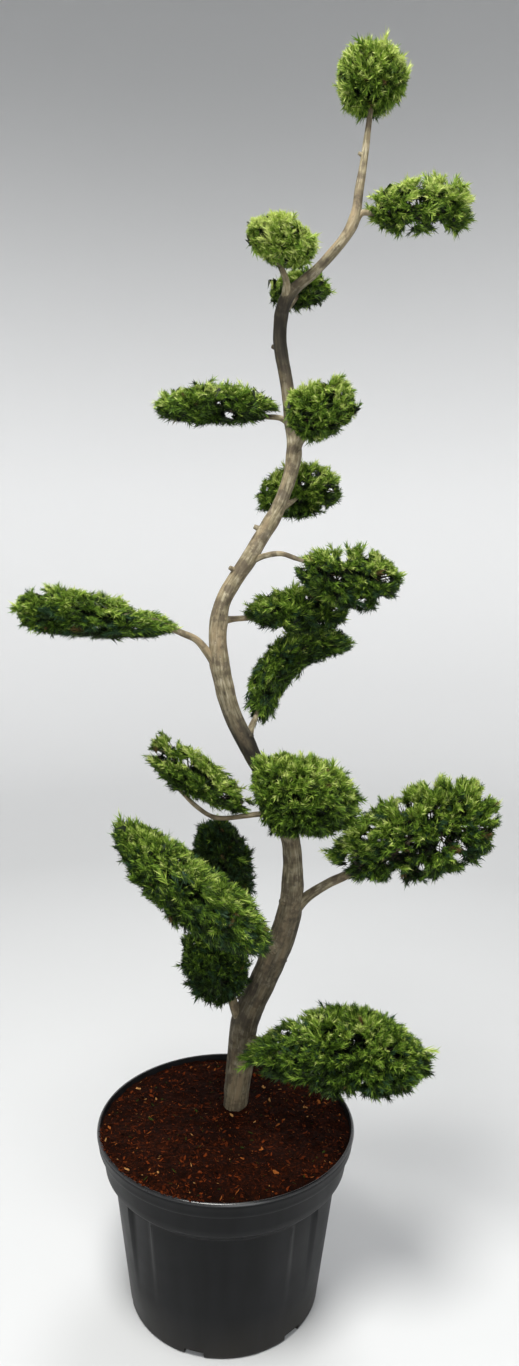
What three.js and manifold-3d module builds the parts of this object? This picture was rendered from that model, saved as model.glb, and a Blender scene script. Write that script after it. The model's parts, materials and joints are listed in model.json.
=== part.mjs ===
// A cloud-pruned conifer in a black nursery pot: one winding trunk, seventeen short boughs and
// eighteen clipped pads of foliage. Millimetres, +Z up, +X to the right of the front view and
// -Y towards the viewer. The origin is the centre of the pot's flat underside.
import * as THREE from "three";
import { mergeVertices } from "three/addons/utils/BufferGeometryUtils.js";
import Module from "manifold-3d";

const wasm = await Module();
wasm.setup();

// The gap left between two pieces that touch on the real plant.
const seat = 0.3;

// Pot
const potHeight = 350;
const rimRadius = 255;
const lipWidth = 6;
const rimBandHeight = 26;
const rimBandStep = 4;
const rimBandChamfer = 2;
const lipRounding = { width: 2, height: 3 };
const footRadius = 187.5;
const wallFlare = 0.13; // radius gained for each millimetre of height
const wallThickness = 3;
// The wall steps out into a collar that stands under the rim's band
const collar = { foot: 260, rise: 16, lowRadius: 238, highRadius: 247 };
const floorThickness = 3;
const footRingWidth = 22;
const footRingHeight = 14;
const footChamfer = 4;
const notch = { count: 6, first: -15, width: 38, height: 12, reach: 18 };
// Sunk panels that fade out downwards from the collar: angles from the front, half widths in
// degrees, heights and depth
const flute = {
  angles: [-45, 45, 135, 225],
  halfWidth: 8.7,
  halfFloor: 7.2,
  bottom: 70,
  top: 253,
  depth: 7,
};
const plainColumns = 24;
const columnSpacing = 2; // least angle from a plain column to a flute

// Compost, filled to just under the rim
const compostHeight = 342;

// Trunk: the turning points of its bends, from the root flare to the tip
const trunkStations = [
  { x: 14, y: 61, z: 318, diameter: 49 },
  { x: 18, y: 59, z: 360, diameter: 50.5 },
  { x: 24, y: 56, z: 430, diameter: 54.5 },
  { x: 34, y: 52, z: 525, diameter: 54.5 },
  { x: 71, y: 45, z: 620, diameter: 54 },
  { x: 109, y: 38, z: 720, diameter: 52 },
  { x: 124, y: 28, z: 812, diameter: 43.5 },
  { x: 120, y: 19, z: 905, diameter: 37 },
  { x: 89, y: 6, z: 1002, diameter: 34 },
  { x: 39, y: -6, z: 1092, diameter: 31 },
  { x: -2, y: -17, z: 1178, diameter: 35 },
  { x: -25, y: -27, z: 1290, diameter: 36 },
  { x: -21, y: -27, z: 1372, diameter: 30 },
  { x: 30, y: -20, z: 1463, diameter: 29 },
  { x: 89, y: -2, z: 1572, diameter: 26 },
  { x: 110, y: 10, z: 1655, diameter: 27 },
  { x: 97, y: 19, z: 1780, diameter: 24.8 },
  { x: 80, y: 12, z: 1872, diameter: 25 },
  { x: 91, y: 3, z: 1938, diameter: 22.5 },
  { x: 148, y: -6, z: 1990, diameter: 18.5 },
  { x: 206, y: -14, z: 2060, diameter: 18.5 },
  { x: 221, y: -12, z: 2140, diameter: 15.5 },
  { x: 235, y: 0, z: 2252, diameter: 10.5 },
];
const trunkRings = 48;
const trunkSides = 9;
// Cut stubs where old shoots were pruned off: height on the trunk, turn from the front, width, length
const stubs = [
  { z: 652, turn: 75, width: 14, length: 8 },
  { z: 782, turn: -45, width: 16, length: 6 },
  { z: 1434, turn: -65, width: 11, length: 8 },
  { z: 1512, turn: -90, width: 11, length: 9 },
  { z: 2185, turn: -85, width: 7, length: 6 },
];
const stubTaper = 0.75;
const stubRise = 25;
const stubSides = 6;

// Boughs: where each leaves the trunk, the points it passes, and its girth at the root and the tip.
// Pads: the bent spine of each pad of foliage, and its half height and half depth at three places.
// A stem runs into the middle of the spine, or to where heart puts it, from -1 to 1 along the spine.
const branches = [
  {
    name: "high_right",
    bough: { from: 2062, via: [[224, -14, 2084]], tip: [238, -8, 2087], root: 13, end: 9 },
    pad: {
      spine: [[230, -5, 2088], [328, 5, 2106], [438, 15, 2102]],
      thick: [30, 49, 38],
      deep: [32, 55, 48],
      twigs: 5,
      core: 0.78,
    },
  },
  {
    name: "high_left",
    bough: { from: 1934, via: [[90, -14, 1962]], tip: [78, -32, 1984], root: 15, end: 10 },
    pad: {
      spine: [[14, -55, 2036], [80, -50, 2019], [144, -38, 2003]],
      thick: [25, 42, 30],
      deep: [40, 52, 40],
      twigs: 5,
      core: 0.84,
    },
  },
  {
    name: "high_back",
    bough: { from: 1902, via: [[92, 26, 1925]], tip: [106, 44, 1948], root: 14, end: 9 },
    pad: {
      spine: [[57, 68, 1961], [118, 75, 1981], [183, 70, 1974]],
      thick: [25, 35, 18],
      deep: [30, 42, 28],
      twigs: 5,
      core: 0.82,
    },
  },
  {
    name: "upper_left",
    bough: { from: 1716, via: [[84, 22, 1727]], tip: [58, 27, 1730], root: 13, end: 9 },
    pad: {
      spine: [[-154, 40, 1746], [-39, 32, 1752], [78, 24, 1741]],
      thick: [26, 37, 22],
      deep: [34, 46, 30],
      twigs: 6,
      core: 0.78,
    },
  },
  {
    name: "upper_front",
    bough: { from: 1648, via: [[120, -8, 1676]], tip: [137, -30, 1696], root: 17, end: 12 },
    pad: {
      spine: [[92, -72, 1708], [148, -78, 1722], [220, -78, 1746]],
      thick: [54, 50, 58],
      deep: [50, 56, 52],
      twigs: 6,
      core: 0.84,
    },
  },
  {
    name: "mid_back",
    bough: { from: 1522, via: [[80, 18, 1548]], tip: [108, 46, 1574], root: 16, end: 11 },
    pad: {
      spine: [[44, 88, 1579], [126, 90, 1600], [211, 85, 1600]],
      thick: [38, 54, 42],
      deep: [44, 55, 45],
      twigs: 5,
      core: 0.84,
    },
  },
  {
    name: "mid_right",
    bough: { from: 1452, via: [[58, -26, 1466], [88, -38, 1470]], tip: [114, -46, 1462], root: 12, end: 9 },
    pad: {
      spine: [[106, -48, 1454], [223, -62, 1427], [309, -70, 1431]],
      thick: [26, 58, 35],
      deep: [30, 60, 50],
      twigs: 6,
      core: 0.72,
    },
  },
  {
    name: "mid_centre",
    bough: { from: 1344, via: [[2, -8, 1348]], tip: [28, 12, 1350], root: 14, end: 10 },
    pad: {
      spine: [[20, 15, 1362], [125, 28, 1367], [228, 35, 1371]],
      thick: [26, 45, 40],
      deep: [36, 52, 44],
      twigs: 5,
      core: 0.80,
    },
  },
  {
    name: "mid_low",
    bough: { from: 1106, via: [[37, 6, 1136]], tip: [48, 24, 1160], root: 15, end: 11 },
    pad: {
      spine: [[47, 34, 1143], [110, 72, 1276], [237, 86, 1299]],
      thick: [40, 41, 36],
      deep: [40, 50, 40],
      twigs: 6,
      core: 0.80,
    },
  },
  {
    name: "long_left",
    bough: { from: 1252, via: [[-46, -34, 1286], [-66, -42, 1309]], tip: [-94, -50, 1322],
      root: 20, end: 12 },
    pad: {
      spine: [[-388, -85, 1356], [-286, -72, 1355], [-84, -50, 1325]],
      thick: [40, 45, 24],
      deep: [44, 56, 28],
      twigs: 9,
      core: 0.82,
    },
  },
  {
    name: "low_left",
    bough: { from: 974, via: [[54, 20, 966], [-31, 32, 955], [-70, 40, 976]], tip: [-98, 46, 1002],
      root: 13, end: 8 },
    pad: {
      spine: [[-168, 60, 1104], [-63, 45, 1032], [46, 25, 976]],
      thick: [50, 40, 28],
      deep: [44, 46, 34],
      twigs: 6,
      core: 0.70,
      heart: -0.5,
    },
  },
  {
    name: "centre_front",
    bough: { from: 915, via: [[120, -6, 935]], tip: [122, -36, 952], root: 19, end: 13 },
    pad: {
      spine: [[54, -92, 1029], [119, -105, 1034], [243, -110, 1004]],
      thick: [84, 78, 66],
      deep: [68, 78, 66],
      twigs: 9,
      core: 0.87,
    },
  },
  {
    name: "big_right",
    bough: { from: 745, via: [[150, 28, 794], [190, 14, 828]], tip: [230, 0, 853], root: 26, end: 17 },
    pad: {
      spine: [[186, -5, 884], [376, -15, 944], [506, -35, 1020]],
      thick: [56, 92, 84],
      deep: [66, 92, 80],
      twigs: 15,
      core: 0.82,
    },
  },
  {
    name: "low_back",
    bough: { from: 655, via: [[56, 66, 690]], tip: [26, 90, 742], root: 20, end: 14 },
    pad: {
      spine: [[-32, 118, 930], [-21, 118, 826], [-5, 112, 708]],
      thick: [58, 69, 54],
      deep: [50, 62, 52],
      twigs: 7,
      core: 0.86,
    },
  },
  {
    name: "low_front",
    bough: { from: 678, via: [[84, 8, 700]], tip: [66, -26, 722], root: 20, end: 15 },
    pad: {
      spine: [[-198, -132, 980], [-91, -112, 871], [78, -84, 744]],
      thick: [34, 55, 66],
      deep: [44, 70, 64],
      twigs: 11,
      core: 0.86,
    },
  },
  {
    name: "low_under",
    bough: { from: 515, via: [[14, 40, 556]], tip: [6, 30, 588], root: 25, end: 18 },
    pad: {
      spine: [[-66, 34, 736], [-22, 22, 655], [14, 20, 590]],
      thick: [62, 68, 42],
      deep: [52, 58, 42],
      twigs: 7,
      core: 0.84,
    },
  },
  {
    name: "foot_right",
    bough: { from: 488, via: [[58, 20, 500]], tip: [84, -16, 508], root: 24, end: 17 },
    pad: {
      spine: [[50, -38, 502], [230, -78, 537], [382, -100, 515]],
      thick: [54, 75, 67],
      deep: [66, 96, 80],
      twigs: 15,
      core: 0.86,
    },
  },
  {
    name: "top",
    pad: {
      spine: [[173, 0, 2318], [240, 0, 2321], [304, 0, 2314]],
      thick: [62, 56, 47],
      deep: [62, 68, 60],
      twigs: 7,
      core: 0.87,
    },
  },
];
const boughSides = 6;
const boughRings = 5;

// Foliage. Shares count from the spine of a pad, 0, to the surface of its space, 1.
const padBluntness = 2.4; // 2 is an ellipsoid, more is blunter at the ends
const coreSides = 10;
const coreRings = 8;
const coreTufts = 0.2; // how far the corners of a core stand in and out, as a share
const stemSides = 6;
const stemRings = 4;
const stemTaper = [1, 0.8, 0.5]; // girth at the root, half way and in the heart of the pad
const stemStraight = 0.35; // share of its way that a stem keeps to its bough's line
const twigSides = 3;
const twigDiameter = { root: 7, tip: 4 };
const aimStray = 0.35; // how far twigs stray from an even spread, in radians
const forkShare = 0.25; // where a twig leaves the stem
const forkStray = 0.2;
const twigTipInset = 0.2; // how far inside the core's surface a twig ends
const shootSpreads = [0.35, 0.9]; // how far each of a twig's sprays strays from the twig's own way
const shootSpacing = 0.3;
// A spray's width is a share of its length up to a widest, and it stays clear of limbs by a margin
const spray = { width: 0.9, widest: 60, thickness: 8, margin: 3 };
const sprayReach = { least: 1.0, most: 1.12 };
// One half of a spray's toothed outline: share of its length along, share of its width across
const sprayTeeth = [[0.76, 0.5], [0.8, 0.22]];
const nearUpright = 0.05;
const sprayRidge = 0.6; // where along its length a spray is thickest
const firstSeed = 11;
const seedStep = 7;
// The box in which a pad looks for limbs and other pads: points tried, and how far out they lie
const room = { points: 80, share: 1.25 };
const mouth = { margin: 5, sides: 32 }; // the space over the pot that stays free of foliage

const colours = {
  pot: "#2b2c2e",
  compost: "#4a2415",
  bark: "#7b6a57",
  limeGreen: "#8fb036",
  midGreen: "#4f7a24",
  deepGreen: "#335a1f",
  darkGreen: "#1f3b16",
};
const roughness = { pot: 0.45, compost: 0.95, bark: 0.85, foliage: 0.75 };
const padColours = {
  top: "limeGreen",
  high_left: "limeGreen",
  upper_front: "limeGreen",
  centre_front: "midGreen",
  foot_right: "midGreen",
  high_right: "midGreen",
  low_front: "midGreen",
  low_back: "darkGreen",
  low_under: "darkGreen",
};

// A seeded run of numbers from 0 to 1, so that every pad always grows the same way.
function seeded(seed) {
  let state = seed >>> 0;
  return () => {
    state = (state + 0x6d2b79f5) >>> 0;
    let mixed = Math.imul(state ^ (state >>> 15), 1 | state);
    mixed = (mixed + Math.imul(mixed ^ (mixed >>> 7), 61 | mixed)) ^ mixed;
    return ((mixed ^ (mixed >>> 14)) >>> 0) / 4294967296;
  };
}

function degrees(angle) {
  return (angle * Math.PI) / 180;
}

function solidOf(geometry) {
  const bare = geometry.clone();
  bare.deleteAttribute("normal");
  bare.deleteAttribute("uv");
  const merged = mergeVertices(bare, 1e-3);
  const vertProperties = new Float32Array(merged.getAttribute("position").array);
  const triVerts = new Uint32Array(merged.index.array);
  return new wasm.Manifold(new wasm.Mesh({ numProp: 3, vertProperties, triVerts }));
}

function geometryOf(solid) {
  const mesh = solid.getMesh();
  const geometry = new THREE.BufferGeometry();
  geometry.setAttribute("position", new THREE.BufferAttribute(new Float32Array(mesh.vertProperties), 3));
  geometry.setIndex(new THREE.BufferAttribute(new Uint32Array(mesh.triVerts), 1));
  geometry.computeVertexNormals();
  return geometry;
}

// The largest of the bodies that a cut leaves; crumbs cut loose from it are dropped.
function mainBody(solid) {
  const bodies = solid.decompose();
  return bodies.reduce((most, body) => (body.volume() > most.volume() ? body : most));
}

function wallRadius(z) {
  return footRadius + wallFlare * z;
}

// The angles of the pot's upright edges, closer together at both sides of each flute.
function potColumns() {
  const columns = [];
  for (let i = 0; i < plainColumns; i++) {
    const angle = (360 * i) / plainColumns;
    const inFlute = flute.angles.some((middle) => {
      const apart = Math.abs(((angle - middle + 540) % 360) - 180);
      return apart < flute.halfWidth + columnSpacing;
    });
    if (!inFlute) columns.push({ angle, sunk: false });
  }
  for (const middle of flute.angles) {
    for (const [offset, sunk] of [
      [-flute.halfWidth, false],
      [-flute.halfFloor, true],
      [flute.halfFloor, true],
      [flute.halfWidth, false],
    ]) {
      columns.push({ angle: (middle + offset + 360) % 360, sunk });
    }
  }
  return columns.sort((a, b) => a.angle - b.angle);
}

// A turned shape round +Z whose upright edges stand at the pot's columns. A profile point is
// [radius, height, sink], and sink is how far the point moves in on the floor of a flute. The
// profile runs up the outside, or down it with its faces then turned out, which lays the diagonals
// of the flutes' sides as they lie on an inner wall.
function turned(profile, downward = false) {
  const columns = potColumns();
  const points = profile.map(([radius, z]) => new THREE.Vector2(radius, z));
  const lathe = new THREE.LatheGeometry(points, columns.length);
  const position = lathe.getAttribute("position");
  for (let i = 0; i < position.count; i++) {
    const column = columns[Math.floor(i / profile.length) % columns.length];
    const [radius, z, sink = 0] = profile[i % profile.length];
    const reach = column.sunk ? radius - sink : radius;
    const angle = degrees(column.angle);
    position.setXYZ(i, reach * Math.sin(angle), z, reach * Math.cos(angle));
  }
  if (downward) lathe.index.array.reverse();
  return lathe.rotateX(Math.PI / 2);
}

function makePot() {
  const bandFoot = potHeight - rimBandHeight;
  const innerFoot = footRadius - footRingWidth;
  const shell = turned([
    [0, 0],
    [footRadius - footChamfer, 0],
    [wallRadius(footChamfer), footChamfer],
    [wallRadius(flute.bottom), flute.bottom],
    [wallRadius(flute.top), flute.top, flute.depth],
    [wallRadius(collar.foot), collar.foot],
    [collar.lowRadius, collar.foot + collar.rise],
    [collar.highRadius, bandFoot],
    [collar.highRadius + rimBandStep, bandFoot - rimBandChamfer],
    [rimRadius, potHeight - lipRounding.height],
    [rimRadius - lipRounding.width, potHeight],
    [rimRadius - lipWidth, potHeight],
    [collar.highRadius - wallThickness, bandFoot],
    [collar.lowRadius - wallThickness, collar.foot + collar.rise + wallThickness],
    [wallRadius(collar.foot) - wallThickness, collar.foot + wallThickness],
    [wallRadius(flute.top) - wallThickness, flute.top, flute.depth],
    [wallRadius(flute.bottom) - wallThickness, flute.bottom],
    [wallRadius(footRingHeight) - wallThickness, footRingHeight],
    [innerFoot, footRingHeight],
    [innerFoot, floorThickness],
    [0, floorThickness],
  ]);
  let body = solidOf(shell);
  // Drain notches through the outer edge of the foot, open underneath
  for (let i = 0; i < notch.count; i++) {
    const angle = degrees(notch.first + (360 * i) / notch.count);
    const box = new THREE.BoxGeometry(notch.width, 2 * notch.reach, 2 * notch.height);
    box.translate(0, -footRadius, 0);
    box.rotateZ(angle);
    body = body.subtract(solidOf(box));
  }
  return body;
}

function makeCompost() {
  const gap = wallThickness + seat;
  const innerFoot = footRadius - footRingWidth - seat;
  const ringTop = footRingHeight + seat;
  const bandFoot = potHeight - rimBandHeight;
  const lipSlope = (rimRadius - lipWidth - collar.highRadius + wallThickness) / rimBandHeight;
  const topRadius = collar.highRadius - gap + lipSlope * (compostHeight - bandFoot);
  const profile = [
    [0, compostHeight],
    [topRadius, compostHeight],
    [collar.highRadius - gap, bandFoot],
    [collar.lowRadius - gap, collar.foot + collar.rise + gap],
    [wallRadius(collar.foot) - gap, collar.foot + gap],
    [wallRadius(flute.top) - gap, flute.top, flute.depth],
    [wallRadius(flute.bottom) - gap, flute.bottom],
    [wallRadius(ringTop) - gap, ringTop],
    [innerFoot, ringTop],
    [innerFoot, floorThickness + seat],
    [0, floorThickness + seat],
  ];
  return solidOf(turned(profile, true));
}

// A round tapering limb: a cylinder laid ring by ring along a curve. The girth runs from station
// to station, and grow makes the same limb a little thicker, to cut its neighbours clear of it.
function limb(curve, diameters, rings, sides, grow = 0) {
  const shape = new THREE.CylinderGeometry(1, 1, 1, sides, rings);
  const frames = curve.computeFrenetFrames(rings);
  const position = shape.getAttribute("position");
  const centre = new THREE.Vector3();
  for (let i = 0; i < position.count; i++) {
    const ring = Math.round((position.getY(i) + 0.5) * rings);
    const station = curve.getUtoTmapping(ring / rings) * (diameters.length - 1);
    const below = Math.min(Math.floor(station), diameters.length - 2);
    const diameter = THREE.MathUtils.lerp(diameters[below], diameters[below + 1], station - below);
    const radius = diameter / 2 + grow;
    curve.getPointAt(ring / rings, centre);
    centre.addScaledVector(frames.normals[ring], radius * position.getX(i));
    centre.addScaledVector(frames.binormals[ring], -radius * position.getZ(i));
    position.setXYZ(i, centre.x, centre.y, centre.z);
  }
  return solidOf(shape);
}

function curveThrough(points) {
  return new THREE.CatmullRomCurve3(points, false, "centripetal");
}

const trunkCurve = curveThrough(trunkStations.map(({ x, y, z }) => new THREE.Vector3(x, y, z)));
const trunkDiameters = trunkStations.map((station) => station.diameter);

// The point of the trunk's axis at a height.
function trunkAt(z) {
  let low = 0;
  let high = 1;
  while (high - low > 1e-5) {
    const middle = (low + high) / 2;
    if (trunkCurve.getPointAt(middle).z < z) low = middle;
    else high = middle;
  }
  return trunkCurve.getPointAt(low);
}

function trunkBody(grow) {
  const pieces = [limb(trunkCurve, trunkDiameters, trunkRings, trunkSides, grow)];
  for (const { z, turn, width, length } of stubs) {
    const axis = trunkAt(z);
    const station = trunkStations.find((next) => next.z > z);
    const reach = station.diameter / 2 + length + grow;
    const [cut, root] = [(stubTaper * width) / 2 + grow, width / 2 + grow];
    const stub = new THREE.CylinderGeometry(cut, root, reach, stubSides);
    stub.translate(0, reach / 2, 0);
    stub.rotateX(degrees(stubRise));
    stub.rotateZ(degrees(turn + 180));
    stub.translate(axis.x, axis.y, axis.z);
    pieces.push(solidOf(stub));
  }
  return wasm.Manifold.union(pieces);
}

function makeTrunk() {
  const ground = new THREE.BoxGeometry(2 * rimRadius, 2 * rimRadius, potHeight);
  ground.translate(0, 0, compostHeight + seat - potHeight / 2);
  return trunkBody(0).subtract(solidOf(ground));
}

function boughCurve(bough) {
  const points = [...bough.via, bough.tip].map((point) => new THREE.Vector3(...point));
  return curveThrough([trunkAt(bough.from), ...points]);
}

function boughDiameters(bough) {
  const count = bough.via.length + 2;
  return Array.from({ length: count }, (_, i) => {
    return THREE.MathUtils.lerp(bough.root, bough.end, Math.sqrt(i / (count - 1)));
  });
}

// The value at share t of a quantity given at the start, the middle and the end.
function alongThree([start, middle, end], t) {
  return start * (2 * t - 1) * (t - 1) + middle * 4 * t * (1 - t) + end * t * (2 * t - 1);
}

// The space of a pad: a blunt ball stretched along a bent spine. It returns a function that turns
// a direction from the middle of the ball, and a share of the way out, into a point of the pad.
function padSpace({ spine, thick, deep }) {
  const [start, middle, end] = spine.map((point) => new THREE.Vector3(...point));
  const control = middle.clone().multiplyScalar(2).addScaledVector(start, -0.5).addScaledVector(end, -0.5);
  const curve = new THREE.QuadraticBezierCurve3(start, control, end);
  const away = new THREE.Vector3(0, 1, 0);
  return (direction, share) => {
    const t = (1 + direction.x * Math.sqrt(share)) / 2;
    const round = Math.pow(Math.max(0, 1 - Math.pow(Math.abs(direction.x), padBluntness)), 1 / padBluntness);
    const ring = Math.hypot(direction.y, direction.z) || 1;
    const tangent = curve.getTangent(t);
    const inward = away.clone().addScaledVector(tangent, -away.dot(tangent)).normalize();
    const upward = tangent.clone().cross(inward);
    return curve
      .getPoint(t)
      .addScaledVector(inward, (alongThree(deep, t) * share * round * direction.y) / ring)
      .addScaledVector(upward, (alongThree(thick, t) * share * round * direction.z) / ring);
  };
}

// Directions spread evenly over a ball, each shifted a little at random.
function spreadDirections(count, random) {
  const golden = Math.PI * (3 - Math.sqrt(5));
  const start = random() * 2 * Math.PI;
  return Array.from({ length: count }, (_, i) => {
    const x = 1 - (2 * (i + 0.5)) / count;
    const turn = start + golden * i + aimStray * (random() - 0.5);
    const ring = Math.sqrt(1 - x * x);
    return new THREE.Vector3(x, ring * Math.cos(turn), ring * Math.sin(turn));
  });
}

function nudged(direction, amount, random) {
  const shift = new THREE.Vector3(random() - 0.5, random() - 0.5, random() - 0.5);
  return direction.clone().addScaledVector(shift, amount).normalize();
}

// A straight rod between two points.
function rod(from, to, fromDiameter, toDiameter, sides) {
  const way = to.clone().sub(from);
  const shape = new THREE.CylinderGeometry(toDiameter / 2, fromDiameter / 2, way.length(), sides);
  shape.translate(0, way.length() / 2, 0);
  const up = new THREE.Vector3(0, 1, 0);
  shape.applyQuaternion(new THREE.Quaternion().setFromUnitVectors(up, way.normalize()));
  shape.translate(from.x, from.y, from.z);
  return solidOf(shape);
}

// A toothed blade from its root to its tip: two low pyramids on one toothed outline.
function sprayBlade(root, tip, width, thickness, turn) {
  const along = tip.clone().sub(root);
  const length = along.length();
  along.normalize();
  const side = new THREE.Vector3(0, 0, 1).cross(along);
  if (side.length() < nearUpright) side.set(1, 0, 0);
  side.normalize().applyAxisAngle(along, turn);
  const face = along.clone().cross(side);
  const outline = [
    [0, 0],
    ...sprayTeeth,
    [1, 0],
    ...[...sprayTeeth].reverse().map(([share, across]) => [share, -across]),
  ];
  const points = outline.map(([share, across]) => {
    return root
      .clone()
      .addScaledVector(along, share * length)
      .addScaledVector(side, across * width);
  });
  const middle = root.clone().addScaledVector(along, sprayRidge * length);
  points.push(middle.clone().addScaledVector(face, thickness / 2));
  points.push(middle.clone().addScaledVector(face, -thickness / 2));
  const count = outline.length;
  const index = [];
  for (let i = 0; i < count; i++) {
    const next = (i + 1) % count;
    index.push(next, i, count);
    index.push(i, next, count + 1);
  }
  const geometry = new THREE.BufferGeometry().setFromPoints(points);
  geometry.setIndex(index);
  return solidOf(geometry);
}

function boxesMeet(a, b) {
  return [0, 1, 2].every((axis) => a.min[axis] <= b.max[axis] && b.min[axis] <= a.max[axis]);
}

// A solid that a pad must keep clear of, with its box worked out once.
function obstacle(solid) {
  return { solid, box: solid.boundingBox() };
}

// Only what lies round one pad: each obstacle cut down to a box a little larger than the pad.
function obstaclesNear(obstacles, place) {
  const reach = new THREE.Box3();
  for (const direction of spreadDirections(room.points, seeded(firstSeed))) {
    reach.expandByPoint(place(direction, room.share));
  }
  const size = reach.getSize(new THREE.Vector3());
  const middle = reach.getCenter(new THREE.Vector3());
  const box = new THREE.BoxGeometry(size.x, size.y, size.z).translate(middle.x, middle.y, middle.z);
  const near = obstacle(solidOf(box));
  return obstacles
    .filter((other) => boxesMeet(other.box, near.box))
    .map((other) => other.solid.intersect(near.solid))
    .filter((solid) => !solid.isEmpty())
    .map(obstacle);
}

function touches(solid, obstacles) {
  const box = solid.boundingBox();
  return obstacles.some((other) => {
    if (!boxesMeet(box, other.box)) return false;
    const shared = solid.intersect(other.solid);
    const meet = !shared.isEmpty();
    shared.delete();
    return meet;
  });
}

// One pad: a stem from the bough's tip, twigs that branch off it towards directions spread over the
// pad, two toothed sprays on each twig, and the close core that a clipped pad has, with its surface
// drawn in and out from corner to corner in tufts.
function makePad(pad, seed, stemStart, stemWay, stemDiameter, limbs, neighbours) {
  const random = seeded(seed);
  const place = padSpace(pad);
  const ball = new THREE.SphereGeometry(1, coreSides, coreRings).rotateZ(-Math.PI / 2);
  const position = ball.getAttribute("position");
  const direction = new THREE.Vector3();
  const tufts = new Map();
  for (let i = 0; i < position.count; i++) {
    direction.fromBufferAttribute(position, i);
    const corner = direction.toArray().map((value) => Math.round(1000 * value)).join();
    if (!tufts.has(corner)) tufts.set(corner, 2 * random() - 1);
    const point = place(direction, pad.core * (1 + coreTufts * tufts.get(corner)));
    position.setXYZ(i, point.x, point.y, point.z);
  }
  let core = solidOf(ball);
  const heart = place(new THREE.Vector3(pad.heart ?? 0, 0, 0), 1);
  const foliage = [];
  const obstacles = obstaclesNear([...limbs, ...neighbours], place);
  for (const aim of spreadDirections(pad.twigs, random)) {
    const fork = place(nudged(aim, forkStray, random), forkShare);
    const twigTip = place(aim, pad.core - twigTipInset);
    const twig = rod(fork, twigTip, twigDiameter.root, twigDiameter.tip, twigSides);
    const shoots = shootSpreads.map((spread) => {
      const reach = THREE.MathUtils.lerp(sprayReach.least, sprayReach.most, random());
      const root = fork.clone().lerp(twigTip, 1 - shootSpacing * spread);
      return [root, place(nudged(aim, spread, random), reach)];
    });
    const grown = [];
    for (const [root, tip] of shoots) {
      const width = Math.min(spray.widest, spray.width * root.distanceTo(tip));
      const turn = random() * Math.PI;
      const loose = sprayBlade(root, tip, width + spray.margin, spray.thickness + spray.margin, turn);
      const blocked = touches(loose, obstacles);
      loose.delete();
      if (!blocked) grown.push(sprayBlade(root, tip, width, spray.thickness, turn));
    }
    if (grown.length && !touches(twig, obstacles)) foliage.push(twig, ...grown);
  }
  for (const other of obstacles) core = core.subtract(other.solid);
  const stemCurve = curveThrough([
    stemStart,
    stemStart.clone().addScaledVector(stemWay, stemStraight * stemStart.distanceTo(heart)),
    heart,
  ]);
  const stem = limb(stemCurve, stemTaper.map((share) => share * stemDiameter), stemRings, stemSides);
  return mainBody(wasm.Manifold.union([core, stem, ...foliage]));
}

function addPiece(group, name, solid, colour, rough) {
  const material = new THREE.MeshStandardMaterial({ color: colour, roughness: rough, metalness: 0 });
  const mesh = new THREE.Mesh(geometryOf(solid), material);
  mesh.name = name;
  group.add(mesh);
}

const plant = new THREE.Group();
addPiece(plant, "pot", makePot(), colours.pot, roughness.pot);
addPiece(plant, "compost", makeCompost(), colours.compost, roughness.compost);
addPiece(plant, "trunk", makeTrunk(), colours.bark, roughness.bark);

// The space that no foliage may enter: the trunk, the boughs and the mouth of the pot
const mouthRadius = rimRadius + mouth.margin;
const potMouth = new THREE.CylinderGeometry(mouthRadius, mouthRadius, 2 * rimBandHeight, mouth.sides);
potMouth.rotateX(Math.PI / 2).translate(0, 0, potHeight - rimBandHeight + mouth.margin);
const limbs = [obstacle(trunkBody(2 * seat)), obstacle(solidOf(potMouth))];
const trunkClear = trunkBody(seat);
for (const { name, bough } of branches) {
  if (!bough) continue;
  const curve = boughCurve(bough);
  const diameters = boughDiameters(bough);
  const solid = mainBody(limb(curve, diameters, boughRings, boughSides).subtract(trunkClear));
  limbs.push(obstacle(limb(curve, diameters, boughRings, boughSides, 2 * seat)));
  addPiece(plant, "bough_" + name, solid, colours.bark, roughness.bark);
}

const pads = [];
branches.forEach(({ name, bough, pad }, i) => {
  const curve = bough ? boughCurve(bough) : trunkCurve;
  const way = curve.getTangentAt(1);
  const start = curve.getPointAt(1).addScaledVector(way, seat);
  const diameter = bough ? bough.end : trunkStations.at(-1).diameter;
  const solid = makePad(pad, firstSeed + seedStep * i, start, way, diameter, limbs, pads);
  pads.push(obstacle(solid));
  addPiece(plant, "foliage_" + name, solid, colours[padColours[name] ?? "deepGreen"], roughness.foliage);
});

export default plant;
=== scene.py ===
import json
import math

import bpy
import numpy as np
from mathutils import Matrix, Vector, noise

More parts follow.
